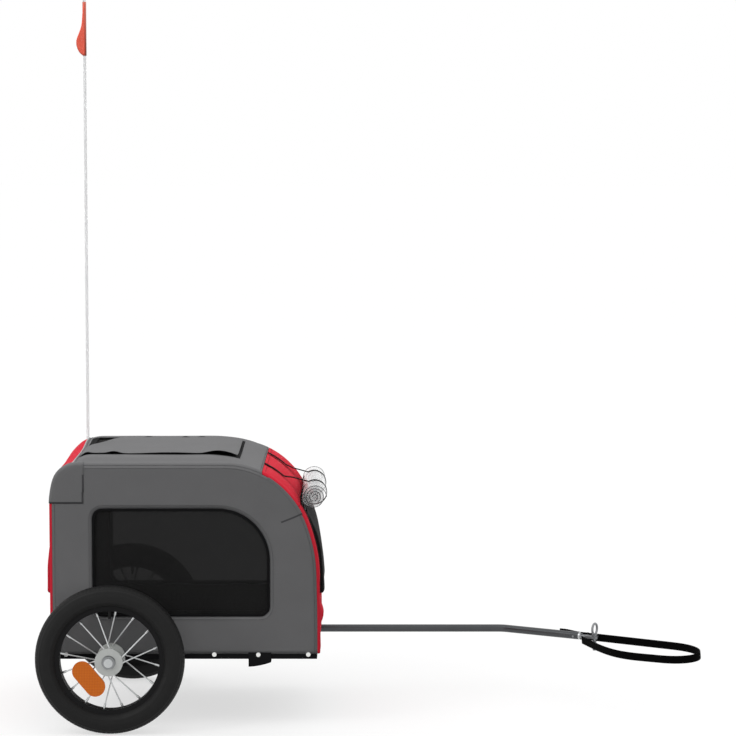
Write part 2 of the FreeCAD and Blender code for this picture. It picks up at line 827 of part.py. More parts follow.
def build_rim(side, centre):
    well = "rim_inside + rim_base"
    wall = "(rim_half - rim_wall)"
    corners = [
        ("rim_inside", "-rim_half"), ("rim_radius", "-rim_half"), ("rim_radius", f"-{wall}"),
        (well, f"-{wall}"), (well, wall), ("rim_radius", wall),
        ("rim_radius", "rim_half"), ("rim_inside", "rim_half"),
    ]
    body = place(turned(side + "_rim_ring_body", corners), **centre)
    hole = rod(side + "_valve_hole", "valve_radius + running_fit", "2 * rim_depth", Z_AXIS,
               "0", centre["y"], "wheel_radius + rim_inside - overrun")
    keep(side + "_rim", cut(side + "_rim", body, hole))


def build_hub(side, centre):
    seat = "bearing_radius + running_fit"
    shoulder = "hub_half - bearing_width"
    corners = [
        (seat, "hub_half"), ("hub_flange_radius", "hub_half"),
        ("hub_flange_radius", "hub_half - hub_flange"), ("hub_barrel_radius", "hub_half - hub_flange"),
        ("hub_barrel_radius", "-hub_half + hub_flange"), ("hub_flange_radius", "-hub_half + hub_flange"),
        ("hub_flange_radius", "-hub_half"), (seat, "-hub_half"), (seat, f"-({shoulder})"),
        ("hub_bore_radius", f"-({shoulder})"), ("hub_bore_radius", shoulder), (seat, shoulder),
    ]
    keep(side + "_hub", place(turned(side + "_hub", corners), **centre))


def build_bearings(side, sign):
    rings = []
    for end, near in (("inner", "track / 2 - hub_half"), ("outer", "track / 2 + hub_half - bearing_width")):
        name = f"{side}_{end}_bearing"
        race = side_rod(name + "_race", sign, "bearing_radius", near, f"{near} + bearing_width - gap",
                        "0", "wheel_radius")
        bore = side_rod(name + "_bore", sign, "axle_radius + running_fit", f"{near} - overrun",
                        f"{near} + bearing_width + overrun", "0", "wheel_radius")
        rings.append(cut(name, race, bore))
    keep(side + "_bearings", group(side + "_bearings", *rings))


def wheel_point(radius, angle, offset):
    """A point of the wheel: the angle runs clockwise from the top, seen from the right."""
    turn = math.radians(angle)
    return Vector(radius * math.sin(turn), offset, radius * math.cos(turn))


def spoke_lines(sign):
    """Hub end and rim end of every spoke: the two flanges lean opposite ways and cross."""
    hub_y = value("hub_half - hub_flange - gap") - value("spoke_radius")
    rim_y = value("spoke_rim_offset")
    rim_r = value("rim_inside - gap")
    lines = []
    for group_number in range(SPOKE_GROUPS):
        axis = value("spoke_phase") + FULL_TURN / SPOKE_GROUPS * group_number
        for spread in (-1, 1):
            for flange in (-1, 1):
                hub_angle = axis + spread * value("spoke_spread")
                rim_angle = hub_angle + flange * value("spoke_twist")
                outward = -flange * sign
                lines.append((wheel_point(value("spoke_circle"), hub_angle, outward * hub_y),
                              wheel_point(rim_r, rim_angle, outward * rim_y)))
    return lines


def build_spokes(side, sign):
    solids = []
    for hub_end, rim_end in spoke_lines(sign):
        run = rim_end - hub_end
        length = run.Length + value("nipple_radius")
        run.normalize()
        wire = Part.makeCylinder(value("spoke_radius"), length, hub_end, run)
        seat = hub_end + run * (length - value("nipple_length"))
        nipple = Part.makeCylinder(value("nipple_radius"), value("nipple_length"), seat, run)
        rim_cut = Part.makeCylinder(value("rim_inside - gap"), value("hub_length"),
                                    Vector(0, -value("hub_half"), 0), Y_AXIS)
        solids.append(wire.fuse(nipple).removeSplitter().common(rim_cut))
    spokes = doc.addObject("Part::Feature", side + "_spokes")
    spokes.Shape = Part.makeCompound(solids)
    keep(side + "_spokes", place(spokes, "0", f"{sign} * track / 2", "wheel_radius"))


def build_valve(side, sign):
    keep(side + "_valve", rod(side + "_valve", "valve_radius", "valve_length", Z_AXIS, "0",
                              f"{sign} * track / 2",
                              "wheel_radius + rim_inside + rim_base + valve_base - valve_length"))


def spoke_under(sign, point):
    """The outer spoke that passes nearest a point of the wheel, and where along it."""
    def flat(vector):
        return Vector(vector.x, 0, vector.z)

    def nearest(pair):
        start, run = flat(pair[0]), flat(pair[1] - pair[0])
        part = min(max((point - start).dot(run) / run.dot(run), 0), 1)
        spot = pair[0] + (pair[1] - pair[0]) * part
        return (flat(spot) - point).Length, spot, (pair[1] - pair[0]).y / run.Length

    outer = [pair for pair in spoke_lines(sign) if pair[0].y * sign > 0]
    return min((nearest(pair) for pair in outer), key=lambda item: item[0])


def build_reflector(side, sign):
    """A round-ended lens across the spokes, on a clip foot that reaches down to one of them."""
    body = new_body(side + "_reflector_lens_body")
    half, radius = "(reflector_length / 2 - reflector_height / 2)", "reflector_height / 2"
    corners = [(f"-{half}", f"-{radius}"), (half, f"-{radius}"), ("reflector_length / 2", "0"),
               (half, radius), (f"-{half}", radius), ("-reflector_length / 2", "0")]
    arcs = {index: (radius, False) for index in (1, 2, 4, 5)}
    sketch = outline(sketch_on(body, side + "_reflector_outline", "XZ_Plane"), corners, arcs)
    lens = feature(body, "Pad", side + "_reflector_lens", sketch, Length="reflector_depth")
    lens.Reversed = sign > 0
    body.Placement.Rotation = Rotation(Y_AXIS, value("reflector_angle") - FULL_TURN / 2)
    back = "track / 2 + hub_half - reflector_depth"
    place(body, "reflector_circle * sin(reflector_angle)", f"{sign} * ({back})",
          "wheel_radius + reflector_circle * cos(reflector_angle)")
    centre = wheel_point(value("reflector_circle"), value("reflector_angle"), 0)
    aside, spot, slope = spoke_under(sign, centre)
    clip = value("reflector_clip")
    clearance = value("spoke_radius") * math.hypot(1, slope) + abs(slope) * clip + value("gap")
    foot = doc.addObject("Part::Feature", side + "_reflector_foot")
    start = Vector(spot.x, sign * value(back), spot.z)
    drop = value("hub_half - reflector_depth + overrun") - abs(spot.y) - clearance
    foot.Shape = Part.makeCylinder(clip, drop, start + Y_AXIS * sign * value("overrun"), Y_AXIS * -sign)
    foot.Placement.Base = Vector(0, 0, value("wheel_radius"))
    keep(side + "_reflector", fuse(side + "_reflector", body, foot))


def build_axle(side, sign):
    start = "inner_half - axle_grip"
    head = "head_y"
    bore_floor = f"{head} + axle_head - button_travel - button_rise"
    shaft = side_rod(side + "_axle_shaft", sign, "axle_radius", start, f"{head} + overrun",
                     "0", "wheel_radius")
    collar = side_rod(side + "_axle_collar", sign, "axle_collar_radius", "half_width + gap",
                      "track / 2 - hub_half - gap", "0", "wheel_radius")
    disc = side_rod(side + "_axle_disc", sign, "axle_head_radius", head, f"{head} + axle_head",
                    "0", "wheel_radius")
    bore = side_rod(side + "_button_bore", sign, "button_radius + running_fit", bore_floor,
                    f"{head} + axle_head + overrun", "0", "wheel_radius")
    solid = fuse(side + "_axle_solid", shaft, collar, disc)
    keep(side + "_axle", cut(side + "_axle", solid, bore))
    keep(side + "_release_button",
         side_rod(side + "_release_button", sign, "button_radius", f"{bore_floor} + button_travel + gap",
                  f"{head} + axle_head + button_rise", "0", "wheel_radius"))


# Drawbar, its brackets and the hitch.
def build_bracket(side, sign):
    """A side plate outside the cloth, a web under the rail and an inner flange."""
    corners = [
        ("bracket_back", "bracket_drop"),
        ("bracket_back + bracket_flat", "bracket_drop"),
        ("bracket_front", "bracket_nose"),
        ("bracket_front", "bracket_top"),
        ("bracket_back", "bracket_top"),
    ]
    cheek = plate(side + "_bracket_cheek", corners, {1: ("bracket_curve", False)}, "sheet_metal",
                  "half_width + gap", sign)
    length = ("bracket_back", "bracket_front")
    inner = "bar_y - bar_radius - gap - sheet_metal"
    web = box(side + "_bracket_web", length, side_span(sign, inner, "half_width + gap + sheet_metal / 2"),
              ("rail_bottom - sheet_metal", "rail_bottom"))
    flange = box(side + "_bracket_flange", length, side_span(sign, inner, f"{inner} + sheet_metal"),
                 ("bracket_drop", "rail_bottom"))
    solid = fuse(side + "_bracket_solid", cheek, web, flange)
    hole = side_rod(side + "_bracket_screw_hole", sign, "screw_radius + running_fit", "half_width",
                    "half_width + gap + sheet_metal + overrun", "screw_bracket", "screw_height")
    stud_hole = side_rod(side + "_bracket_stud_hole", sign, "stud_radius + running_fit", "half_width",
                         "half_width + gap + sheet_metal + overrun", "knob_at", "bar_z")
    keep(side + "_drawbar_bracket", cut(side + "_drawbar_bracket", solid, hole, stud_hole))


def build_guide():
    reach = "bar_radius + gap"
    span = ("guide_back", "guide_back + guide_length")
    outer = box("guide_block", span, (f"bar_y - ({reach} + sheet_metal)", f"bar_y + {reach} + sheet_metal"),
                (f"bar_z - ({reach} + sheet_metal)", "rail_bottom"))
    inner = rod("guide_bore", reach, "guide_length + 2 * overrun", X_AXIS,
                "guide_back - overrun", "bar_y", "bar_z")
    keep("drawbar_guide", cut("drawbar_guide", outer, inner))


def at_bar_end(piece):
    """Put a piece made along x at the open end of the drawbar."""
    piece.Placement = Placement(Vector(), Rotation(Z_AXIS, -value("bar_bend_angle")))
    piece.setExpression(".Placement.Rotation.Angle", full("-bar_bend_angle"))
    return place(piece, "end_x", "end_y", "bar_z")


def rivet_rod(name, radius, half_length):
    """A rod across the bar end, tilted with the strap."""
    tilt = math.radians(value("strap_tilt"))
    across = Vector(0, math.cos(tilt), math.sin(tilt))
    piece = along(doc.addObject("Part::Cylinder", name), across)
    bind(piece, Radius=radius, Height=f"2 * ({half_length})")
    reach = f"({half_length})"
    return place(piece, "-rivet_back", f"-{reach} * cos(strap_tilt)", f"-{reach} * sin(strap_tilt)")


def build_drawbar():
    leg = "bar_bend_radius * tan(bar_bend_angle / 2)"
    corner = "(bar_bend_at - bar_back)"
    path = [
        ("0", "0"),
        (f"{corner} - {leg}", "0"),
        (f"{corner} + {leg} * cos(bar_bend_angle)", f"-({leg}) * sin(bar_bend_angle)"),
        (f"{corner} + bar_tail * cos(bar_bend_angle)", "-bar_tail * sin(bar_bend_angle)"),
    ]
    tube = bent_tube("drawbar_tube", "XY_Plane", path, {1: ("bar_bend_radius", True)}, "YZ_Plane",
                     "bar_back", "bar_y", "bar_z")
    hole = group("drawbar_rivet_hole", rivet_rod("drawbar_rivet_bore", "rivet_radius + running_fit",
                                                 "2 * bar_radius"))
    keep("drawbar", cut("drawbar", tube, at_bar_end(hole)))
    head = rod("drawbar_plug_head", "bar_radius", "collar_length", X_AXIS,
               "bar_back - collar_length - gap", "bar_y", "bar_z")
    shank = rod("drawbar_plug_shank", "bar_bore - gap", "plug_length + collar_length", X_AXIS,
                "bar_back - collar_length - gap", "bar_y", "bar_z")
    keep("drawbar_plug", fuse("drawbar_plug", head, shank))


def build_tongue():
    stem = rod("tongue_stem", "bar_bore - gap", "stem_length + collar_length + 2 * overrun", X_AXIS,
               "-stem_length")
    half, high = "tongue_width / 2", "tongue_thickness / 2"
    blade = box("tongue_blade", ("collar_length + gap", "pin_reach"), (f"-{half}", half), (f"-{high}", high))
    tip = rod("tongue_tip", half, "tongue_thickness", Z_AXIS, "pin_reach", "0", f"-{high}")
    solid = fuse("tongue_solid", stem, blade, tip)
    pin_hole = rod("tongue_pin_hole", "pin_radius + pin_seat + running_fit", "2 * tongue_thickness", Z_AXIS,
                   "pin_reach", "0", "-tongue_thickness")
    rivet_hole = rivet_rod("tongue_rivet_bore", "rivet_radius + running_fit", "2 * bar_radius")
    keep("hitch_tongue", at_bar_end(cut("hitch_tongue", solid, pin_hole, rivet_hole)))
    ring = rod("collar_ring", "bar_radius", "collar_length", X_AXIS)
    bore = rod("collar_bore", "bar_bore - gap + running_fit", "collar_length + 2 * overrun", X_AXIS,
               "-overrun")
    keep("drawbar_collar", at_bar_end(cut("drawbar_collar", ring, bore)))


def build_hitch_pin():
    top = "tongue_thickness / 2"
    shaft = rod("pin_shaft", "pin_radius", "pin_drop + overrun", Z_AXIS, "pin_reach", "0",
                f"-{top} - pin_drop")
    seat = rod("pin_seat_rod", "pin_radius + pin_seat", "tongue_thickness + pin_step + gap + overrun", Z_AXIS,
               "pin_reach", "0", f"-{top} - pin_step")
    flange = rod("pin_flange_disc", "pin_flange_radius", "pin_flange", Z_AXIS, "pin_reach", "0",
                 f"{top} + gap")
    neck = rod("pin_neck_rod", "pin_neck_radius", "pin_neck + ring_wire", Z_AXIS, "pin_reach", "0",
               f"{top} + gap + pin_flange / 2")
    ring = doc.addObject("Part::Torus", "pin_ring")
    bind(ring, Radius1="ring_radius", Radius2="ring_wire")
    ring.Placement.Rotation = Rotation(Z_AXIS, value("ring_turn")).multiply(Rotation(Y_AXIS, QUARTER_TURN))
    place(ring, "pin_reach", "0", f"{top} + gap + pin_flange + pin_neck + ring_radius")
    keep("hitch_pin", at_bar_end(fuse("hitch_pin", shaft, seat, flange, neck, ring)))


def webbing(edges, thickness, width):
    """A band on edge along a flat run of edges, rounded where two edges meet."""
    solids = []
    for edge in edges:
        start = edge.valueAt(edge.FirstParameter)
        forward = edge.tangentAt(edge.FirstParameter)
        across = Vector(-forward.y, forward.x, 0) * (thickness / 2)
        up = Z_AXIS * (width / 2)
        corners = [start + across + up, start - across + up, start - across - up, start + across - up]
        section = Part.makePolygon(corners + corners[:1])
        solids.append(Part.Wire([edge]).makePipeShell([section], True, False))
        solids.append(Part.makeCylinder(thickness / 2, width, start - up, Z_AXIS))
    return solids[0].fuse(solids[1:]).removeSplitter()


def build_safety_strap():
    """A webbing loop on edge: along the bar, out to the tip, round it and back."""
    base, hold = value("strap_base"), value("strap_hold")
    tip_radius, side_offset = value("strap_tip_radius"), value("strap_side")
    lead = value("collar_length")
    centre = Vector(value("strap_reach") - tip_radius, side_offset - tip_radius, 0)
    far_end = centre + Vector(0, tip_radius, 0)
    near_end = centre - Vector(0, tip_radius, 0)
    near_foot = Vector(lead, -base, 0)
    chord = near_foot - near_end
    bow = chord.Length ** 2 / (2 * chord.y)
    middle = near_end + Vector(0, bow, 0)
    direction = (near_end + chord * 0.5 - middle).normalize()
    edges = [
        Part.makeLine(Vector(-hold, base, 0), Vector(lead, base, 0)),
        Part.makeLine(Vector(lead, base, 0), far_end),
        Part.Arc(far_end, centre + Vector(tip_radius, 0, 0), near_end).toShape(),
        Part.Arc(near_end, middle + direction * bow, near_foot).toShape(),
        Part.makeLine(near_foot, Vector(-hold, -base, 0)),
    ]
    band = doc.addObject("Part::Feature", "strap_band")
    band.Shape = webbing(edges, value("strap_thickness"), value("strap_width"))
    band.Placement.Rotation = Rotation(X_AXIS, value("strap_tilt"))
    hole = rivet_rod("strap_rivet_bore", "rivet_radius + running_fit", "2 * strap_base")
    keep("safety_strap", at_bar_end(cut("safety_strap", band, hole)))
    reach = "strap_base + strap_thickness / 2 + gap"
    shank = rivet_rod("rivet_shank", "rivet_radius", reach)
    heads = rivet_rod("rivet_heads", "rivet_head_radius", f"{reach} + rivet_head")
    between = rivet_rod("rivet_between", "2 * rivet_head_radius", reach)
    rivet = fuse("strap_rivet", shank, cut("rivet_head_pair", heads, between))
    keep("strap_rivet", at_bar_end(rivet))


def build_knob():
    """A lobed hand knob whose stud presses the drawbar in its bracket."""
    body = new_body("knob_grip")
    disc = circle(sketch_on(body, "knob_disc", "XZ_Plane"), "knob_radius")
    grip = feature(body, "Pad", "knob_pad", disc, Length="knob_length")
    grip.Reversed = True
    dent = circle(sketch_on(body, "knob_dent", "XZ_Plane"), "knob_scallop", "0", "knob_scallop_circle")
    scoop = feature(body, "Pocket", "knob_scoop", dent, Length="knob_length")
    scoop.Reversed = False
    lobes = body.newObject("PartDesign::PolarPattern", "knob_lobes")
    lobes.Originals = [scoop]
    lobes.Axis = (dent, ["N_Axis"])
    lobes.Angle = FULL_TURN
    lobes.Occurrences = KNOB_LOBES
    body.Tip = lobes
    base = "half_width + 2 * gap + sheet_metal"
    place(body, "knob_at", base, "bar_z")
    tip = "bar_y + bar_radius + gap"
    stud = rod("knob_stud", "stud_radius", f"{base} + overrun - ({tip})", Y_AXIS, "knob_at", tip, "bar_z")
    keep("clamp_knob", fuse("clamp_knob", body, stud))


# Safety flag.
def build_flag():
    post = rod("socket_post", "socket_radius", "socket_length", Z_AXIS, "-pole_back", "pole_y",
               "socket_bottom")
    bore = rod("socket_bore", "pole_radius + running_fit", "socket_length", Z_AXIS, "-pole_back", "pole_y",
               "socket_bottom + socket_floor")
    keep("flag_socket", cut("flag_socket", post, bore))
    keep("flag_pole", rod("flag_pole", "pole_radius", "pole_top - pole_foot", Z_AXIS, "-pole_back", "pole_y",
                          "pole_foot"))
    low = "(pole_top - gap - flag_hoist)"
    sleeve = rod("flag_sleeve_tube", "pole_radius + gap + flag_sleeve", "flag_hoist", Z_AXIS, "-pole_back",
                 "pole_y", low)
    hole = rod("flag_sleeve_bore", "pole_radius + gap", "flag_hoist + 2 * overrun", Z_AXIS, "-pole_back",
               "pole_y", f"{low} - overrun")
    body = new_body("flag_cloth_body")
    edge = "-pole_radius"
    corners = [(edge, "0"), ("-flag_length", "flag_tip_rise"),
               ("-flag_length", "flag_tip_rise + flag_tip_width"), (edge, "flag_hoist")]
    sketch = outline(sketch_on(body, "flag_outline", "YZ_Plane"), corners)
    feature(body, "Pad", "flag_sheet", sketch, Length="flag_cloth")
    place(body, "-pole_back - flag_cloth / 2", "pole_y", low)
    keep("flag", cut("flag", fuse("flag_solid", sleeve, body), hole))


for side, sign in SIDES.items():
    build_side_rail(side, sign)
    build_hoop(side, sign)
    build_wall(side, sign)
    build_wheel(side, sign)
    build_bracket(side, sign)
build_cross_rail("front_cross_rail", ("frame_front - rail_size", "frame_front"))
build_cross_rail("rear_cross_rail", ("-frame_back", "-frame_back + rail_size"))
build_rail_plugs()
build_axle_tube()
build_floor()
build_spigots()
build_top_bars()
build_screws()
build_strip_panels(build_cloth_strip())
build_roof_hatch()
build_rain_cover()
build_ties()
build_guide()
build_drawbar()
build_tongue()
build_hitch_pin()
build_safety_strap()
build_knob()
build_flag()
doc.recompute()

# Every object is checked, then each piece is moved so that the middle of the whole is at x = 0.
for item in doc.Objects:
    if any(word in item.State for word in ("Invalid", "Error")):
        raise RuntimeError(f"{item.Label} did not build: {item.State}")
for name, piece in pieces.items():
    if piece.Shape.isNull() or not piece.Shape.isValid() or not piece.Shape.Solids:
        raise RuntimeError(f"{name} has no valid solid")

front = pieces["safety_strap"].Shape.optimalBoundingBox().XMax
shift = Vector((value("wheel_radius") - front) / 2, 0, 0)
os.makedirs("parts", exist_ok=True)
for name, piece in pieces.items():
    shape = piece.Shape.copy()
    shape.translate(shift)
    shape.exportStep(f"parts/{name}.step")
print(len(pieces), "pieces, shifted by", round(shift.x, 3))
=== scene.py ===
import bmesh
import bpy
from math import acos, atan2, ceil, cos, hypot, pi, radians, remainder, sin, sqrt
from mathutils import Matrix, Vector, noise
from mathutils.bvhtree import BVHTree
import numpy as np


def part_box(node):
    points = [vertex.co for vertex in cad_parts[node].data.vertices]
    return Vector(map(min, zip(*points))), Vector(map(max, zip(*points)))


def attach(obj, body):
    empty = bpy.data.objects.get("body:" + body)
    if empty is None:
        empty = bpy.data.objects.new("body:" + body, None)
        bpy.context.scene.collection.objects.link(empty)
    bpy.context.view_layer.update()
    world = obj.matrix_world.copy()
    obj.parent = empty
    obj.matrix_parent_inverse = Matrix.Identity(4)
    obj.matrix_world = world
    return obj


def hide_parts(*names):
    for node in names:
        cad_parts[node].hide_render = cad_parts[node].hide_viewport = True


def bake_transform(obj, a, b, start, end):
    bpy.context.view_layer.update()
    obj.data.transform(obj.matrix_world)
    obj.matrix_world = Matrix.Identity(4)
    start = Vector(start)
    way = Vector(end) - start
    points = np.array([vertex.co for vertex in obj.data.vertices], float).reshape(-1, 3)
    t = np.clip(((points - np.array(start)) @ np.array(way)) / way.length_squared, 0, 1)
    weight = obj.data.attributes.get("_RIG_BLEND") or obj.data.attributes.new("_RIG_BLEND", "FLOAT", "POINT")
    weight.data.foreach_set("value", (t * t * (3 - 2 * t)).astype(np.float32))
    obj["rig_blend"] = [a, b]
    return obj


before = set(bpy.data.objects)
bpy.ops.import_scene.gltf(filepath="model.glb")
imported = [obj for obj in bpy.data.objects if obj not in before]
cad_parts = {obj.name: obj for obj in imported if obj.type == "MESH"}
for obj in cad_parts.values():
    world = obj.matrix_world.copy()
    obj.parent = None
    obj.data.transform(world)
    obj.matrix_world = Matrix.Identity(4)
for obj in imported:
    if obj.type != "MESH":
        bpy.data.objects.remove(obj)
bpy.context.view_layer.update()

# Lengths are in millimetres, along the trailer from the axle and upwards from the ground.
MM = 0.001
tyre_low, tyre_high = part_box("right_tyre")
AXLE_X = (tyre_low.x + tyre_high.x) / 2
TO_FRAME = Matrix.Translation((AXLE_X, 0, 0)) @ Matrix.Scale(MM, 4)
X_AXIS = Vector((1, 0, 0))
Y_AXIS = Vector((0, 1, 0))
Z_AXIS = Vector((0, 0, 1))
SIDES = {"right": -1, "left": 1}
QUARTER = pi / 2
SMALL = 0.01

# Cabin outline.
HALF_WIDTH = 208
BACK = -127
ROOF = 537
REAR_BEND = 60
ROOF_FRONT = 229
FRONT_BEND = 168
FRONT_TURN = radians(75)
BOW_FOOT = 226
CLOTH_BOTTOM = 148
BEND_Z = ROOF - FRONT_BEND
FRONT_BOW = FRONT_BEND + (BEND_Z - BOW_FOOT) / cos(FRONT_TURN)
BOW_X = ROOF_FRONT + (FRONT_BEND - FRONT_BOW) * sin(FRONT_TURN)
FRONT = BOW_X + FRONT_BOW
REAR_CENTRE = Vector((BACK + REAR_BEND, 0, ROOF - REAR_BEND))
BEND_CENTRE = Vector((ROOF_FRONT, 0, BEND_Z))
BOW_CENTRE = Vector((BOW_X, 0, BOW_FOOT))

# Openings in the cloth.
WINDOW_BACK, WINDOW_FRONT = -40, 317
WINDOW_LOW, WINDOW_HIGH = 225, 444
WINDOW_CORNER, WINDOW_BEND = 20, 105
ROOF_BACK, BAND_START = -79, 303
DOOR_HALF, DOOR_LOW, DOOR_HIGH, REAR_DOOR_HIGH = 165, 264, 430, 460
HATCH_BACK, HATCH_FRONT, HATCH_HALF = -62, 222, 122
FLAP_BACK, FLAP_FRONT, FLAP_HALF = -74, 250, 131

# How the cloth is cut and sewn.
CLOTH = 1.6
CLOTH_STEP = 9
EDGE_FOLD = 6
FOLD_STEPS = 5
TIE_PLACE = 93
ZIP_TOP = 449
ZIP_WIDTH = 9

# Real sizes and shares of the patterns in the finishes.
CLOTH_CLOUDS, COAT_CLOUDS, FILM_CREASES = 70, 30, 14
TYRE_PITS, TYRE_DUST, LENS_PRISM = 0.9, 18, 3.2
WEB_RIBS, WEB_CORDS, CORD_SHARE, THREAD_SHARE = 2.2, 1.6, 0.4, 0.35


# Finishes.
def linear(hex_colour):
    """sRGB hex digits as a linear colour."""
    parts = [int(hex_colour[place:place + 2], 16) / 255 for place in (0, 2, 4)]
    curve = [part / 12.92 if part <= 0.04045 else ((part + 0.055) / 1.055) ** 2.4 for part in parts]
    return (*curve, 1)


def add(tree, kind, settings=None, links=None):
    """Add a shader node with its settings and the sockets linked to its inputs."""
    node = tree.nodes.new("ShaderNode" + kind)
    for name, value in (settings or {}).items():
        if isinstance(name, int) or name in node.inputs:
            node.inputs[name].default_value = value
        else:
            setattr(node, name, value)
    for name, socket in (links or {}).items():
        tree.links.new(socket, node.inputs[name])
    return node


def blank(name):
    """A material with an empty node tree and its surface shader."""
    material = bpy.data.materials.new(name)
    material.use_nodes = True
    tree = material.node_tree
    return material, tree, tree.nodes["Principled BSDF"]


def set_inputs(node, **sockets):
    for name, value in sockets.items():
        node.inputs[name.replace("_", " ")].default_value = value


def mix_colours(tree, surface, dark, light, factor):
    """Colour a surface between two colours by a pattern."""
    mix = add(tree, "Mix", {"data_type": "RGBA", 6: linear(dark), 7: linear(light)}, {0: factor})
    tree.links.new(mix.outputs[2], surface.inputs["Base Color"])


def shade(tree, surface, dark, light, factor, rough, height, depth, strength=0.5, **sockets):
    """Mix two colours by a pattern and give the surface its roughness, relief and fixed sockets."""
    mix_colours(tree, surface, dark, light, factor)
    bump = add(tree, "Bump", {"Distance": depth * MM, "Strength": strength}, {"Height": height})
    tree.links.new(bump.outputs[0], surface.inputs["Normal"])
    set_inputs(surface, Roughness=rough, **sockets)


# The wave texture turns by 20 radians over one unit of its scale.
WAVE_TURN = 2 * pi / 20


def bands(tree, place, way, pitch):
    """Even ridges across one direction of a map."""
    scale = WAVE_TURN / (pitch * MM)
    return add(tree, "TexWave", {"bands_direction": way, "Scale": scale}, {"Vector": place}).outputs["Fac"]


def speckle(tree, size, detail=3):
    """Soft random patches of about one size."""
    place = add(tree, "TexCoord").outputs["Object"]
    settings = {"Scale": 1 / (size * MM), "Detail": detail}
    return add(tree, "TexNoise", settings, {"Vector": place}).outputs["Fac"]


def cells(tree, kind, size, uneven):
    """Small cells side by side on one kind of coordinates, each rising from its middle."""
    place = add(tree, "TexCoord").outputs[kind]
    settings = {"Scale": 1 / (size * MM), "Randomness": uneven}
    return add(tree, "TexVoronoi", settings, {"Vector": place}).outputs["Distance"]


def weave(tree, thread):
    """Plain weave on the cloth's own map: threads pass over and under in turn."""
    place = add(tree, "TexCoord").outputs["UV"]
    warp, weft = [bands(tree, place, way, thread) for way in "XY"]
    over = add(tree, "TexChecker", {"Scale": 1 / (thread * MM)}, {"Vector": place}).outputs["Fac"]
    return add(tree, "Mix", {}, {0: over, 2: warp, 3: weft}).outputs[0]


def woven_cloth(name, dark, light, thread=1.5, gloss=0.25, **more):
    """Coated polyester in plain weave: matt, a faint thread relief and slow changes of shade.
    The real thread spacing of about 0.5 mm is drawn three times as coarse so that it shows."""
    material, tree, surface = blank(name)
    threads = weave(tree, thread)
    cloudy = speckle(tree, CLOTH_CLOUDS)
    blend = add(tree, "Mix", {0: THREAD_SHARE}, {2: cloudy, 3: threads}).outputs[0]
    shade(tree, surface, dark, light, blend, rough=0.86, height=threads, depth=0.25,
          Specular_IOR_Level=gloss, **more)
    return material


def open_mesh(name, dark, light, clear, pitch=2.6):
    """Knitted polyester mesh: black yarn that lets a small share of the light through.
    The real holes are finer than a picture can show, so they are drawn as a tint that varies by stitch."""
    material, tree, surface = blank(name)
    stitch = cells(tree, "UV", pitch, uneven=0.25)
    shade(tree, surface, dark, light, stitch, rough=0.8, height=stitch, depth=0.3, Specular_IOR_Level=0.1)
    tint = {"From Max": 0.7, "To Min": 1 - 1.4 * clear, "To Max": 1 - 0.6 * clear}
    yarn = add(tree, "MapRange", tint, {"Value": stitch}).outputs[0]
    tree.links.new(yarn, surface.inputs["Alpha"])
    return material


def webbing(name, dark, light):
    """Woven nylon webbing: cross ribs about 2 mm apart, nearly black and matt."""
    material, tree, surface = blank(name)
    place = add(tree, "TexCoord").outputs["UV"]
    ribs = bands(tree, place, "X", WEB_RIBS)
    cords = bands(tree, place, "Y", WEB_CORDS)
    both = add(tree, "Mix", {0: CORD_SHARE}, {2: ribs, 3: cords}).outputs[0]
    shade(tree, surface, dark, light, both, rough=0.75, height=both, depth=0.4, strength=0.6,
          Specular_IOR_Level=0.04)
    return material


def coated_metal(name, dark, light, rough, metallic=0.0, peel=1.2, depth=0.05, gloss=0.5, **more):
    """Metal under powder coat or plating, or moulded plastic: a fine peel relief and an uneven shade."""
    material, tree, surface = blank(name)
    grain = speckle(tree, peel, detail=2)
    cloudy = speckle(tree, COAT_CLOUDS)
    shade(tree, surface, dark, light, cloudy, rough, grain, depth, strength=0.4, Metallic=metallic,
          Specular_IOR_Level=gloss, **more)
    return material


def rubber(name, dark, light):
    """Moulded tyre rubber: near black, matt, with a fine pitted skin and a dusty tinge."""
    material, tree, surface = blank(name)
    pits = speckle(tree, TYRE_PITS, detail=4)
    dust = speckle(tree, TYRE_DUST, detail=4)
    shade(tree, surface, dark, light, dust, rough=0.44, height=pits, depth=0.15, Specular_IOR_Level=0.16)
    return material


def prism_lens(name, dark, light):
    """Moulded acrylic reflector: small corner prisms behind a glossy face."""
    material, tree, surface = blank(name)
    facet = cells(tree, "Object", LENS_PRISM, uneven=0.0)
    shade(tree, surface, dark, light, facet, rough=0.3, height=facet, depth=0.8, IOR=1.49,
          Specular_IOR_Level=0.3)
    return material


def clear_film(name, dark, light, faint, full):
    """Soft clear vinyl: nearly invisible face on, grey where it is seen along its surface. That opacity rises
    as the film turns away from the view, a painted stand-in for the reflection of clear film seen at a
    glancing angle.
    """
    material, tree, surface = blank(name)
    edge = add(tree, "LayerWeight", {"Blend": 0.3}).outputs["Facing"]
    body = add(tree, "MapRange", {"To Min": faint, "To Max": full}, {"Value": edge}).outputs[0]
    tree.links.new(body, surface.inputs["Alpha"])
    creases = speckle(tree, FILM_CREASES)
    shade(tree, surface, dark, light, creases, rough=0.12, height=creases, depth=2, strength=0.3, IOR=1.46)
    return material


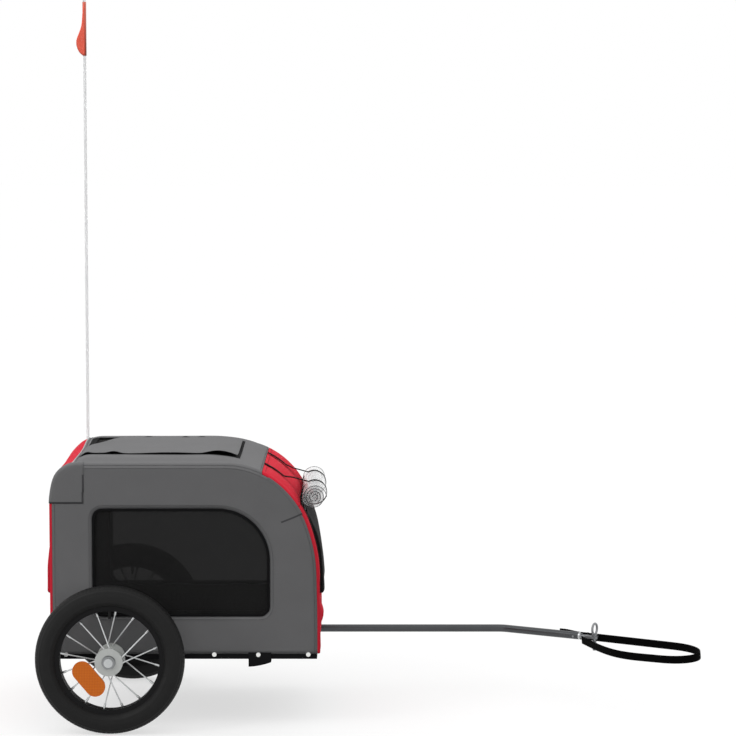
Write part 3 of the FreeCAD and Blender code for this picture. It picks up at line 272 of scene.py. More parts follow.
GREY_CLOTH = woven_cloth("grey_coated_polyester", "6b6b6c", "757576")
# Painted shadow: a dark grey strip along the corner patches' edges stands in for the shade the raised patches
# cast.
PATCH_EDGE_PAINTED_SHADOW = woven_cloth("patch_edge_painted_shadow", "454546", "4f4f51", 1.2)
RED_CLOTH = woven_cloth("red_coated_polyester", "cb2133", "df2e41", 1.5, 0.12)
BLACK_TAPE = woven_cloth("black_binding_tape", "0b0b0c", "151516", 1.2, 0.1)
GREY_TAPE = woven_cloth("pale_piping", "a8a8a8", "bababa", 1.2)
BLACK_MESH = open_mesh("black_window_mesh", "161616", "242424", 0.1)
DOOR_MESH = open_mesh("black_door_mesh", "0d0c0c", "1b1919", 0.05)
STRAP_WEB = webbing("black_nylon_webbing", "020202", "070707")
FILM = clear_film("clear_vinyl_film", "d9dddf", "ffffff", 0.05, 0.4)
# The film's cut edges are dark grey and nearly opaque: painted shade for the dark outlines clear film shows
# along its edges.
FILM_EDGE_PAINTED_SHADE = clear_film("vinyl_edge_painted_shade", "22262a", "42474b", 0.85, 1.0)
TYRE = rubber("moulded_tyre_rubber", "181818", "202020")
VALVE_RUBBER = rubber("valve_rubber", "141414", "1d1d1d")
FRAME_COAT = coated_metal("black_powder_coat", "08080a", "101012", 0.5, gloss=0.08)
RIM_COAT = coated_metal("black_rim_enamel", "0c0c0d", "151516", 0.42, gloss=0.12)
BAR_COAT = coated_metal("grey_drawbar_coat", "46484a", "545658", 0.34, 0.7)
SPOKE_PLATE = coated_metal("zinc_plated_spoke", "b4b6b7", "d6d8d8", 0.28, 0.9, 0.6, 0.02)
HUB_ALLOY = coated_metal("cast_hub_alloy", "b0b3b1", "c6c8c5", 0.4, 0.35, 0.8, 0.04)
STEEL = coated_metal("turned_steel", "7b7d7e", "8f9192", 0.3, 0.9, 0.6, 0.02)
SCREW_ZINC = coated_metal("zinc_plated_screw", "d9dad8", "f2f2ef", 0.3, 0.85, 0.5, 0.02)
BUTTON_ALLOY = coated_metal("bright_button_alloy", "abaeaf", "c6c8c8", 0.24, 0.9, 0.5, 0.02)
HITCH_STEEL = coated_metal("plated_hitch_steel", "85878a", "a0a2a4", 0.36, 0.5, 0.8, 0.03)
PLUG_PLASTIC = coated_metal("moulded_black_plastic", "101011", "1a1a1b", 0.5, 0.0, 0.9, 0.05, 0.2)
FLOOR_FILM = coated_metal("film_faced_plywood", "17140f", "241f19", 0.5, 0.0, 2.5, 0.1, 0.3)
POLE_GLASS = coated_metal("white_glass_fibre", "eeeff0", "fbfbfb", 0.4, 0.0, 1.0, 0.03, 0.3,
                          Transmission_Weight=0.65)
# The flag nylon's coral emission is a painted glow that brightens the flag against its shade; the flag is no
# lamp.
FLAG_CLOTH_PAINTED_GLOW = woven_cloth("flag_nylon", "e9543f", "fb7763", 1.1, 0.1,
                         Emission_Color=linear("ff6a50"), Emission_Strength=0.2)
# The sleeve round the pole is painted paler than the flag: painted light against the shade the flag casts on
# it.
FLAG_SLEEVE_PAINTED_LIGHT = woven_cloth("flag_sleeve_painted_paler", "d98070", "e48e7e", 1.1, 0.1)
AMBER = prism_lens("amber_acrylic", "c9560a", "f58a22")
GREY_THREAD = woven_cloth("grey_thread", "585859", "646465", 0.6)
RED_THREAD = woven_cloth("red_thread", "8e1f2b", "a52c38", 0.6)
ZIP_COIL = coated_metal("black_nylon_coil", "080808", "121212", 0.4, gloss=0.3)

SOLIDS = [
    (RIM_COAT, "rim"), (SPOKE_PLATE, "spokes"), (HUB_ALLOY, "hub"), (AMBER, "reflector"),
    (VALVE_RUBBER, "valve"), (STEEL, "bearings", "axle", "hoop_spigots"),
    (BUTTON_ALLOY, "release_button", "drawbar_collar"),
    (FRAME_COAT, "side_rail", "hoop", "drawbar_bracket", "front_cross_rail", "rear_cross_rail", "axle_tube",
     "front_top_bar", "rear_top_bar", "drawbar_guide"),
    (PLUG_PLASTIC, "rail_end_plugs", "bar_connectors", "drawbar_plug", "flag_socket", "clamp_knob"),
    (FLOOR_FILM, "floor_board"), (SCREW_ZINC, "rail_screws"), (BAR_COAT, "drawbar"),
    (HITCH_STEEL, "hitch_tongue", "hitch_pin"), (POLE_GLASS, "flag_pole"),
]
NODE_FINISH = {name: finish for finish, *names in SOLIDS for name in names}


def finish_cad_nodes():
    """Give every solid that stays in view its finish."""
    for name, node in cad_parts.items():
        plain = name.removeprefix("right_").removeprefix("left_")
        finish = NODE_FINISH.get(name) or NODE_FINISH.get(plain)
        if finish:
            node.data.materials.clear()
            node.data.materials.append(finish)


# Shaping.
def spread(keys, size):
    """Places from the first key to the last with every key kept and no gap over size."""
    places = [keys[0]]
    for start, end in zip(keys, keys[1:]):
        count = max(1, ceil(abs(end - start) / size))
        places += [start + (end - start) * step / count for step in range(1, count + 1)]
    return places


def walk(points, size, closed=False):
    """Points along straight runs between corners, no further apart than size."""
    corners = list(points) + list(points[:1]) * closed
    line = []
    for start, end in zip(corners, corners[1:]):
        count = max(1, ceil((end - start).length / size))
        line += [start.lerp(end, step / count) for step in range(count)]
    return line if closed else line + [corners[-1].copy()]


def new_verts(made):
    return [item for item in made if isinstance(item, bmesh.types.BMVert)]


class Sweep:
    """A line of edges drawn out step by step. Each new row notes how far along the cloth it lies."""

    def __init__(self, points):
        self.bm = bmesh.new()
        self.along = self.bm.verts.layers.float.new("along")
        verts = [self.bm.verts.new(point) for point in points]
        self.line = [self.bm.edges.new(pair) for pair in zip(verts, verts[1:])]
        self.length = 0

    def row(self, length, matrix):
        made = bmesh.ops.extrude_edge_only(self.bm, edges=self.line)["geom"]
        verts = new_verts(made)
        fresh = set(verts)
        self.line = [item for item in made
                     if isinstance(item, bmesh.types.BMEdge) and fresh.issuperset(item.verts)]
        bmesh.ops.transform(self.bm, matrix=matrix, verts=verts)
        self.length += length
        for vert in verts:
            vert[self.along] = self.length

    def straight(self, vector, size=CLOTH_STEP):
        count = max(1, ceil(vector.length / size))
        for _ in range(count):
            self.row(vector.length / count, Matrix.Translation(vector / count))

    def bend(self, centre, angle, radius, size=CLOTH_STEP):
        count = max(2, ceil(abs(angle) * radius / size))
        turn = Matrix.Rotation(angle / count, 4, "Y")
        about = Matrix.Translation(centre) @ turn @ Matrix.Translation(-centre)
        for _ in range(count):
            self.row(abs(angle) * radius / count, about)

    def over_cabin(self, size=CLOTH_STEP):
        """From the rear foot, up, over the roof and down to the front foot."""
        heights = (CLOTH_BOTTOM, DOOR_LOW, REAR_DOOR_HIGH, REAR_CENTRE.z)
        for low, high in zip(heights, heights[1:]):
            self.straight(Z_AXIS * (high - low), size)
        self.bend(REAR_CENTRE, QUARTER, REAR_BEND, size)
        places = (REAR_CENTRE.x, HATCH_BACK, HATCH_FRONT, ROOF_FRONT)
        for back, front in zip(places, places[1:]):
            self.straight(X_AXIS * (front - back), size)
        self.bend(BEND_CENTRE, FRONT_TURN, FRONT_BEND, size)
        self.bend(BOW_CENTRE, QUARTER - FRONT_TURN, FRONT_BOW, size)
        self.straight(-Z_AXIS * (BOW_FOOT - CLOTH_BOTTOM), size)
        return self.bm


def on_arc(centre, radius, turn, y=0):
    return centre + Vector((radius * cos(turn), y, radius * sin(turn)))


def turn_out(bm):
    """Turn all faces of a shape the same way, and outwards where it is closed."""
    bmesh.ops.recalc_face_normals(bm, faces=bm.faces)


def face_out(bm, towards):
    """Turn an open sheet so that its faces look the given way."""
    turn_out(bm)
    total = sum(face.normal.dot(towards(face.calc_center_median())) * face.calc_area() for face in bm.faces)
    if total < 0:
        bmesh.ops.reverse_faces(bm, faces=bm.faces)
    bm.normal_update()


CABIN_MIDDLE = Vector((140, 0, 330))


def from_cabin(point):
    return (point - CABIN_MIDDLE).normalized()


def panel_of(bm, part):
    """A copy of the cabin cloth with only the faces whose middle is in one part."""
    panel = bm.copy()
    outside = [face for face in panel.faces if part_at(face.calc_center_median()) != part]
    bmesh.ops.delete(panel, geom=outside, context="FACES")
    panel.normal_update()
    return panel


def puff(bm, rise):
    """Move every point along its normal by rise(place)."""
    moves = [(vert, vert.normal * rise(vert.co)) for vert in bm.verts]
    for vert, move in moves:
        vert.co += move
    bm.normal_update()


def ease(value, start, end):
    """A smooth step from 0 at start to 1 at end."""
    part = min(max((value - start) / (end - start), 0), 1)
    return part * part * (3 - 2 * part)


def hill(value, low, high):
    """0 outside low to high and a smooth rise to 1 in the middle."""
    if not low < value < high:
        return 0
    return sin(pi * (value - low) / (high - low)) ** 2


def map_cloth(bm, place):
    """Give the cloth its own map in metres for the weave."""
    layer = bm.loops.layers.uv.new("cloth")
    for face in bm.faces:
        for loop in face.loops:
            loop[layer].uv = [part * MM for part in place(loop.vert)]


def strip_map(bm):
    """Lay a drawn-out strip's map flat: across the cloth, and along it."""
    along = bm.verts.layers.float["along"]
    map_cloth(bm, lambda vert: (vert.co.y, vert[along]))


def set_up(thing, **settings):
    """Give an item of the scene several settings at once."""
    for name, value in settings.items():
        setattr(thing, name, value)
    return thing


def to_mesh(name, bm):
    """Turn a shape into a mesh and let the shape go."""
    mesh = bpy.data.meshes.new(name)
    bm.to_mesh(mesh)
    bm.free()
    return mesh


def place_object(name, data, **settings):
    """An object of the scene that holds a mesh, a lamp or a camera."""
    holder = bpy.data.objects.new(name, data)
    bpy.context.scene.collection.objects.link(holder)
    return set_up(holder, **settings)


def make(name, bm, body, finish, stands_for=(), thick=0, offset=-1, smooth_levels=0, bevel=0, rim=0,
         bend=()):
    """Turn a finished shape into a piece of the scene that rides on a body, or that bends from the trailer
    to it between two points. A pair of finishes gives a second one for marked faces, or for the rim of its
    thickness."""
    bmesh.ops.transform(bm, matrix=TO_FRAME, verts=bm.verts)
    mesh = to_mesh(name, bm)
    mesh.polygons.foreach_set("use_smooth", [True] * len(mesh.polygons))
    for one in finish if isinstance(finish, tuple) else (finish,):
        mesh.materials.append(one)
    piece = place_object(name, mesh)
    if thick:
        set_up(piece.modifiers.new("thickness", "SOLIDIFY"), thickness=thick * MM, offset=offset,
               use_even_offset=False, material_offset_rim=rim)
    if bevel:
        set_up(piece.modifiers.new("soft_edges", "BEVEL"), width=bevel * MM, segments=2)
    if smooth_levels:
        set_up(piece.modifiers.new("smooth", "SUBSURF"), levels=smooth_levels, render_levels=smooth_levels)
    if bend:
        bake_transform(piece, "trailer", body, *[TO_FRAME @ point for point in bend])
    else:
        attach(piece, body)
    if stands_for:
        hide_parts(*stands_for)
    return piece


def on_cloth(tree, spot, run, lift=0.0):
    """The place on the cloth nearest to a spot, turned along a run and lifted off the cloth."""
    place, normal, _, _ = tree.find_nearest(spot)
    along = (run - normal * run.dot(normal)).normalized()
    turn = Matrix((along, normal.cross(along), normal)).transposed().to_4x4()
    return Matrix.Translation(place + normal * lift) @ turn


def block(bm, place, size):
    bmesh.ops.create_cube(bm, size=1, matrix=place @ Matrix.Diagonal((*size, 1)))


def rod(bm, radius, length, place, sides=24):
    """A solid round bar along the upright axis of its place."""
    bmesh.ops.create_cone(bm, cap_ends=True, segments=sides, radius1=radius, radius2=radius, depth=length,
                          matrix=place)


def beads(bm, line, tree, size, pitch, lift):
    """Small blocks in a row along a line, set on the cloth under them: stitches or zip teeth."""
    left = 0.0
    for start, end in zip(line, line[1:]):
        run = end - start
        while left < run.length:
            block(bm, on_cloth(tree, start + run * (left / run.length), run, lift), size)
            left += pitch
        left -= run.length


STITCH, STITCH_PITCH, STITCH_LIFT = (3.0, 0.7, 0.7), 4.4, 0.25
TOOTH, TOOTH_PITCH, TOOTH_LIFT = (1.3, 4.2, 1.4), 2.4, 0.5


def stitch(name, lines, tree, finish, slot, size=STITCH, pitch=STITCH_PITCH, lift=STITCH_LIFT, bevel=0):
    """Rows of stitches, zip teeth or piping as one piece."""
    bm = bmesh.new()
    for line in lines:
        beads(bm, line, tree, size, pitch, lift)
    make(name, bm, "trailer", finish, bevel=bevel)


# Cabin cloth.
def front_x(height):
    """How far forward the front of the cabin is at a height."""
    for centre, radius, foot in ((BEND_CENTRE, FRONT_BEND, FRONT_BEND * cos(FRONT_TURN) + BEND_Z),
                                 (BOW_CENTRE, FRONT_BOW, BOW_FOOT)):
        if height > foot:
            return centre.x + sqrt(radius ** 2 - (height - centre.z) ** 2)
    return FRONT


def on_front(place, height):
    return Vector((front_x(height), place, height))


def fold_section(keys):
    """Places across the cabin, with the cloth folded over both side edges."""
    arc = [QUARTER * step / FOLD_STEPS for step in range(FOLD_STEPS, 0, -1)]
    edge = [(HALF_WIDTH - EDGE_FOLD * (1 - sin(turn)), EDGE_FOLD * (1 - cos(turn))) for turn in arc]
    left = edge + [(place, 0) for place in spread(keys, CLOTH_STEP)]
    right = [(-place, inset) for place, inset in reversed(left[:-1])]
    return left + right


# The arched roof: how far it rises, and the places between which each part of the rise starts or ends.
CROWN, FAR_RISE, FAR_START_SHARE = 8, 4, 0.5
CROWN_BACK, CROWN_FRONT = (ROOF_BACK, ROOF_BACK + 25), (BAND_START - 25, BAND_START - 115)
CROWN_SIDE = (HALF_WIDTH - EDGE_FOLD, HALF_WIDTH - EDGE_FOLD - 30)
FAR_START, FAR_START_ACROSS, FAR_ACROSS = (ROOF - 13, ROOF - 2), (20, 140), (-60, 140)
FAR_BACK, FAR_FRONT = (REAR_CENTRE.z + 10, REAR_CENTRE.z + 50), (BAND_START + 10, BAND_START - 40)


def roof_crown(place):
    """The roof cloth arches a little between its seams, most of all on the far side."""
    start = ease(place.x, *CROWN_BACK)
    start += (ease(place.z, *FAR_START) - start) * FAR_START_SHARE * ease(place.y, *FAR_START_ACROSS)
    middle = CROWN * start * ease(place.x, *CROWN_FRONT)
    far = FAR_RISE * ease(place.y, *FAR_ACROSS) * ease(place.x, *FAR_FRONT) * ease(place.z, *FAR_BACK)
    return (middle + far) * ease(abs(place.y), *CROWN_SIDE)


# Where the cloth is full or slack: by how much, at which heights, and where along and across the cabin.
NEAR_FULL, FOOT_FULL, REAR_SLACK = 9, 3.5, 3
FULL_HEIGHTS, FOOT_HEIGHTS, SLACK_HEIGHTS = (215, 500), (300, 210), (455, 525)
FULL_FROM_EDGE, FULL_ACROSS, SLACK_ALONG = (-70, -10), (-40, -150), (-85, -115)


def settled(place):
    """Where the cloth lies: fuller than its hoop along the near front edge, drawn in at the rear bend."""
    full = NEAR_FULL * hill(place.z, *FULL_HEIGHTS) + FOOT_FULL * ease(place.z, *FOOT_HEIGHTS)
    full *= ease(place.x - front_x(min(place.z, ROOF)), *FULL_FROM_EDGE) * ease(place.y, *FULL_ACROSS)
    slack = REAR_SLACK * hill(place.z, *SLACK_HEIGHTS) * ease(place.x, *SLACK_ALONG)
    return place + X_AXIS * (full + slack)


def settle(bm):
    for vert in bm.verts:
        vert.co = settled(vert.co)


# Relief of the stretched cloth: ripples by length, height and shift, lanes between the ties, a sagging fold.
CABIN_RIPPLES, WALL_RIPPLES = ((95, 1.6, 0), (38, 0.5, 0)), ((110, 1.7, 0), (42, 0.5, 7))
SIDE_CALM, ROOF_CALM, WALL_CALM = (HALF_WIDTH, HALF_WIDTH - 30), 0.4, (445, 395)
LANES, LANE_RISE, LANE_DIP = (-HALF_WIDTH, -TIE_PLACE, TIE_PLACE, HALF_WIDTH), 5.5, 1
LANE_TOP, LANE_FOOT = (BAND_START, BAND_START + 26), (ZIP_TOP, ZIP_TOP + 26)
SAG, SAG_ROUND, SAG_HEIGHTS = 8, 0.7, (202, 252)
SAG_ACROSS, SAG_SIDE = (-115, -160), (HALF_WIDTH - 4, HALF_WIDTH - 18)


def ripples(place, waves):
    return sum(noise.noise(place / length + X_AXIS * shift) * rise for length, rise, shift in waves)


def cabin_relief(place):
    """How far the cloth stands out: ripples, the arched roof, the band between its ties, the front fold."""
    inward = ease(abs(place.y), *SIDE_CALM)
    rise = ripples(place, CABIN_RIPPLES) * inward
    if place.z > REAR_CENTRE.z and place.x < BAND_START:
        rise = rise * ROOF_CALM + roof_crown(place)
    lane = max(sqrt(hill(place.y, low, high)) for low, high in zip(LANES, LANES[1:]))
    rise += (LANE_RISE * lane - LANE_DIP) * inward * ease(place.x, *LANE_TOP) * ease(place.z, *LANE_FOOT)
    if place.x > ROOF_FRONT:
        sag = hill(place.z, *SAG_HEIGHTS) ** SAG_ROUND * ease(place.y, *SAG_ACROSS)
        rise += SAG * sag * ease(abs(place.y), *SAG_SIDE)
    return rise


def cabin_sheet():
    """One sheet of cloth over the whole cabin, cut by the seam lines."""
    keys = [HALF_WIDTH - EDGE_FOLD, DOOR_HALF + ZIP_WIDTH, DOOR_HALF, HATCH_HALF, TIE_PLACE, 0]
    section = [Vector((BACK + inset, place, CLOTH_BOTTOM)) for place, inset in fold_section(keys)]
    bm = Sweep(section).over_cabin()
    seams = [(X_AXIS, BAND_START), (X_AXIS, ROOF_BACK), (Z_AXIS, DOOR_HIGH), (Z_AXIS, DOOR_LOW),
             (Z_AXIS, ZIP_TOP), (Z_AXIS, DOOR_LOW - ZIP_WIDTH)]
    for normal, place in seams:
        bmesh.ops.bisect_plane(bm, geom=bm.verts[:] + bm.edges[:] + bm.faces[:], dist=SMALL,
                               plane_co=normal * place, plane_no=normal)
    settle(bm)
    face_out(bm, from_cabin)
    puff(bm, cabin_relief)
    return bm


def within(place, half, low, high):
    return abs(place.y) < half and low < place.z < high


def in_hatch(place, inset=0):
    return HATCH_BACK + inset < place.x < HATCH_FRONT - inset and abs(place.y) < HATCH_HALF - inset


# Each end of the cabin: the top of its door, and the bottom and the top of its zip.
ENDS = {"front": (DOOR_HIGH, DOOR_LOW, ZIP_TOP),
        "rear": (REAR_DOOR_HIGH, DOOR_LOW - ZIP_WIDTH, REAR_DOOR_HIGH)}


def part_at(place):
    """The part of the cabin cloth that a place belongs to."""
    if ROOF_BACK < place.x < BAND_START:
        return "roof_mesh" if in_hatch(place) else "roof_panel"
    end = "front" if place.x > BAND_START else "rear"
    if end == "front" and place.z > ZIP_TOP:
        return "front_band"
    door_high, zip_low, zip_high = ENDS[end]
    if within(place, DOOR_HALF, DOOR_LOW, door_high):
        return end + "_door"
    if within(place, DOOR_HALF + ZIP_WIDTH, zip_low, zip_high):
        return end + "_zip_tape"
    return end + "_panel"


PANELS = {
    "rear_panel": (RED_CLOTH, "red_cloth"), "rear_zip_tape": (BLACK_TAPE, "webbing"),
    "roof_panel": (GREY_CLOTH, "grey_cloth"), "front_band": (RED_CLOTH, "red_cloth"),
    "front_zip_tape": (BLACK_TAPE, "webbing"), "front_panel": (RED_CLOTH, "red_cloth"),
}


def build_panels(cloth):
    for name, (finish, slot) in PANELS.items():
        panel = panel_of(cloth, name)
        strip_map(panel)
        stands_for = (name,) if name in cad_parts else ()
        piece = make("cloth_" + name, panel, "trailer", finish, stands_for, CLOTH, smooth_levels=1)


LIP_UNDER, LIP_TAKE_UP = 1.5, 0.5


def lift_door(bm, rise):
    """Lift a door off the cloth behind it and fold its border back to its seam."""
    home = bm.verts.layers.float_vector.new("home")
    along = bm.verts.layers.float["along"]
    for vert in bm.verts:
        vert[home] = vert.co
    puff(bm, rise)
    border = [edge for edge in bm.edges if edge.is_boundary]
    made = bmesh.ops.extrude_edge_only(bm, edges=border)["geom"]
    for vert in new_verts(made):
        vert[along] += (vert.co - vert[home]).length * LIP_TAKE_UP
        vert.co = vert[home] - from_cabin(vert[home]) * LIP_UNDER


# How far the doors stand out, and the heights and places between which they do.
FRONT_DOOR_EDGE, FRONT_DOOR_CROWN, FRONT_DOOR_FLARE, FRONT_DOOR_LEAST = 6, 4, 2, 1.5
FRONT_DOOR_OUT = (DOOR_HIGH + 6, DOOR_HIGH - 54)
FLARE_ACROSS, FLARE_HEIGHTS = (-60, -140), (DOOR_LOW + 60, DOOR_LOW + 10)
REAR_DOOR_EDGE, REAR_DOOR_CROWN, REAR_DOOR_LEAST = 8, 3, 0.8
REAR_DOOR_OUT = (DOOR_LOW + 130, DOOR_LOW + 50)
FRONT_DOOR_BEND = [Vector((FRONT, 0, DOOR_LOW + rise)) for rise in (0, 55)]


def front_door_rise(place):
    """The front door stands out below and flares at its near foot."""
    across = 1 - (place.y / DOOR_HALF) ** 2
    more = FRONT_DOOR_EDGE - FRONT_DOOR_LEAST + FRONT_DOOR_CROWN * across
    flare = FRONT_DOOR_FLARE * ease(place.y, *FLARE_ACROSS) * ease(place.z, *FLARE_HEIGHTS)
    return FRONT_DOOR_LEAST + more * ease(place.z, *FRONT_DOOR_OUT) + flare


def rear_door_rise(place):
    """The rear door lies flat above and bags out over its foot."""
    across = 1 - (place.y / DOOR_HALF) ** 4
    return REAR_DOOR_LEAST + (REAR_DOOR_EDGE + REAR_DOOR_CROWN * across) * ease(place.z, *REAR_DOOR_OUT)


def build_doors(cloth):
    doors = {
        "front_door": (DOOR_MESH, "black_mesh", front_door_rise, FRONT_DOOR_BEND),
        "rear_door": (RED_CLOTH, "red_cloth", rear_door_rise, ()),
    }
    for name, (finish, slot, rise, bend) in doors.items():
        panel = panel_of(cloth, name)
        lift_door(panel, rise)
        strip_map(panel)
        piece = make("cloth_" + name, panel, name, finish, (name,), CLOTH, smooth_levels=1, bend=bend)


# Zips.
SEAM_STEP, SLIDER_AT, SLIDER_AHEAD = 6, 3, 2
# Parts of a slider: where each lies on the zip, and its size.
SLIDER = {"body": ((0, 0, 2.5), (11, 8, 4)), "bridge": ((0, 0, 5.2), (6, 3, 2.2)),
          "pull": ((-11, 0, 5.6), (24, 6, 1.4))}


def build_zips(tree):
    aside = DOOR_HALF + ZIP_WIDTH / 2
    rise = spread([DOOR_LOW, DOOR_HIGH + ZIP_WIDTH / 2], SEAM_STEP)
    front = [on_front(-aside, height) for height in rise]
    front += [on_front(place, rise[-1]) for place in spread([-aside, aside], SEAM_STEP)]
    front += [on_front(aside, height) for height in reversed(rise)]
    low = DOOR_LOW - ZIP_WIDTH / 2
    corners = [(-aside, REAR_DOOR_HIGH), (-aside, low), (aside, low), (aside, REAR_DOOR_HIGH)]
    rear = walk([Vector((BACK, place, height)) for place, height in corners], SEAM_STEP)
    stitch("door_zip_teeth", [front, rear], tree, ZIP_COIL, "webbing", TOOTH, TOOTH_PITCH, TOOTH_LIFT)
    bm = bmesh.new()
    for line in (front, rear):
        middle = len(line) // 2
        for way in (-1, 1):
            add_slider(bm, tree, line[middle + SLIDER_AT * way], line[middle + SLIDER_AHEAD * way])
    make("zip_sliders", bm, "trailer", ZIP_COIL, bevel=0.6)


def add_slider(bm, tree, spot, ahead):
    """A zip slider with its hanging pull tab."""
    base = on_cloth(tree, spot, ahead - spot)
    for offset, size in SLIDER.values():
        block(bm, base @ Matrix.Translation(offset), size)


# Side walls and windows.
OUTLINE_STEP, HOLE_STEP, FOOT_STEPS, WALL_CUTS, WELD = 4, 1, 60, 9, 0.2
WALL_SEAM, WINDOW_SEAM, MESH_UNDER = 5, 7, 3
BINDING_OUT, BINDING_IN, BINDING_PROUD, BINDING_THICK = 0.5, 5, 1, 2.4


def cabin_outline(inset, size=OUTLINE_STEP):
    """Points of the side outline from the rear foot to the front foot, drawn in by inset."""
    foot = Vector((BACK + inset, 0, CLOTH_BOTTOM))
    drawn = Sweep([foot, foot + Y_AXIS])
    drawn.over_cabin(size)
    edge = sorted((vert for vert in drawn.bm.verts if vert.co.y < SMALL), key=lambda vert: vert[drawn.along])
    points = [vert.co.copy() for vert in edge]
    drawn.bm.free()
    return points


def window_outline(inset, size=OUTLINE_STEP):
    """Points round a window, drawn in by inset, with its large front bend."""
    def corner(x, z, radius, start):
        count = max(4, ceil(radius * QUARTER / size))
        centre = Vector((x, 0, z))
        return [on_arc(centre, radius, start + QUARTER * step / count) for step in range(count + 1)]

    small, large = WINDOW_CORNER, WINDOW_BEND
    back, front = WINDOW_BACK + small, WINDOW_FRONT - small
    low, high = WINDOW_LOW + small, WINDOW_HIGH - small
    points = corner(front, low, small - inset, -QUARTER)
    points += corner(WINDOW_FRONT - large, WINDOW_HIGH - large, large - inset, 0)
    points += corner(back, high, small - inset, QUARTER)
    points += corner(back, low, small - inset, 2 * QUARTER)
    return walk(points, size, True)


WINDOW_MIDDLE = Vector(((WINDOW_BACK + WINDOW_FRONT) / 2, 0, (WINDOW_LOW + WINDOW_HIGH) / 2))


def bearing(point):
    offset = point - WINDOW_MIDDLE
    return atan2(offset.z, offset.x)


def ring(bm, points):
    verts = [bm.verts.new(point) for point in points]
    return [bm.edges.new(pair) for pair in zip(verts, verts[1:] + verts[:1])]


def facing(sign):
    return lambda point: Y_AXIS * sign


def set_side(bm, sign, out=0.0):
    bmesh.ops.translate(bm, verts=bm.verts, vec=Y_AXIS * sign * (HALF_WIDTH + out))


def side_map(bm):
    map_cloth(bm, lambda vert: (vert.co.x, vert.co.z))


def wall_relief(place):
    """Slow ripples in the stretched side wall, which lies smooth under the corner patches."""
    return ripples(place, WALL_RIPPLES) * ease(place.z, *WALL_CALM)


def wall_sheet(sign):
    """The side wall round its window, stretched between the two outlines."""
    edge = cabin_outline(EDGE_FOLD, CLOTH_STEP)
    outer = edge + [edge[-1].lerp(edge[0], step / FOOT_STEPS) for step in range(1, FOOT_STEPS)]
    hole = window_outline(0, HOLE_STEP)
    inner = [min(hole, key=lambda point: abs(remainder(bearing(point) - bearing(spot), 2 * pi)))
             for spot in outer]
    bm = bmesh.new()
    loops = ring(bm, outer) + ring(bm, [point + Y_AXIS * SMALL * step / len(inner)
                                        for step, point in enumerate(inner)])
    made = bmesh.ops.bridge_loops(bm, edges=loops)
    bmesh.ops.subdivide_edges(bm, edges=made["edges"], cuts=WALL_CUTS, use_grid_fill=True)
    bmesh.ops.remove_doubles(bm, verts=bm.verts, dist=WELD)
    face_out(bm, facing(sign))
    set_side(bm, sign)
    settle(bm)
    border = {vert for vert in bm.verts if vert.is_boundary}
    for vert in bm.verts:
        if vert not in border:
            vert.co.y += sign * wall_relief(vert.co)
    return bm


def build_wall(side, sign):
    bm = wall_sheet(sign)
    tree = BVHTree.FromBMesh(bm)
    side_map(bm)
    wall = make(f"cloth_{side}_wall", bm, "trailer", GREY_CLOTH, (f"{side}_wall",), CLOTH)
    rows = [cabin_outline(EDGE_FOLD + WALL_SEAM), walk(window_outline(-WINDOW_SEAM), OUTLINE_STEP, True)]
    rows = [[settled(point + Y_AXIS * sign * HALF_WIDTH) for point in row] for row in rows]
    stitch(f"{side}_wall_stitching", rows, tree, GREY_THREAD, "grey_cloth")


def lay_on_side(bm, sign, out):
    """Turn a flat sheet outwards, map it and set it at a side wall."""
    face_out(bm, facing(sign))
    set_side(bm, sign, out)
    side_map(bm)


def build_window(side, sign):
    bm = bmesh.new()
    bmesh.ops.triangle_fill(bm, edges=ring(bm, window_outline(-MESH_UNDER)), use_beauty=True)
    lay_on_side(bm, sign, -CLOTH)
    mesh = make(f"{side}_window_mesh", bm, "trailer", BLACK_MESH, (f"{side}_window",))
    bm = bmesh.new()
    rings = ring(bm, window_outline(-BINDING_OUT)) + ring(bm, window_outline(BINDING_IN))
    bmesh.ops.bridge_loops(bm, edges=rings)
    lay_on_side(bm, sign, BINDING_PROUD)
    make(f"{side}_window_binding", bm, "trailer", BLACK_TAPE, (), BINDING_THICK,
         offset=-0.5, bevel=0.8)


# Corner patches.
PATCH_TOP, PATCH_EDGE, PATCH_CLOTH, PATCH_LEAD = 14, 3.5, 1.2, 2
REAR_PROUD, REAR_PATCH, REAR_PATCH_LOW, REAR_PATCH_MORE, REAR_LINE_TOP = 0.9, 59, 458, 7, 513
FRONT_PROUD = 0.3
FRONT_PATCH, FRONT_PATCH_HIGH, FRONT_PATCH_LOW = 48, radians(58), radians(24)


def wrap_section(on_wall, proud, over=True):
    """Across a side edge: up the wall and into the fold, or over it and onto the top."""
    reach = EDGE_FOLD + proud
    wall = [(HALF_WIDTH + proud, inset) for inset in spread([on_wall, EDGE_FOLD], CLOTH_STEP)]
    turns = [QUARTER * (1 - step / FOLD_STEPS) for step in range(1, FOLD_STEPS + 1)]
    fold = HALF_WIDTH - EDGE_FOLD
    arc = [(fold + reach * sin(turn), EDGE_FOLD - reach * cos(turn)) for turn in turns]
    return wall + arc + [(fold - PATCH_TOP, -proud)] if over else wall + arc[:1]


def grow(bm, edges, move, mark):
    """Draw border edges out by a move, and mark the new strip for the second finish."""
    made = bmesh.ops.extrude_edge_only(bm, edges=edges)["geom"]
    bmesh.ops.translate(bm, verts=new_verts(made), vec=move)
    for item in made:
        if isinstance(item, bmesh.types.BMFace):
            item.material_index = mark


def border_edges(bm, wanted):
    return [edge for edge in bm.edges if edge.is_boundary and all(wanted(vert.co) for vert in edge.verts)]


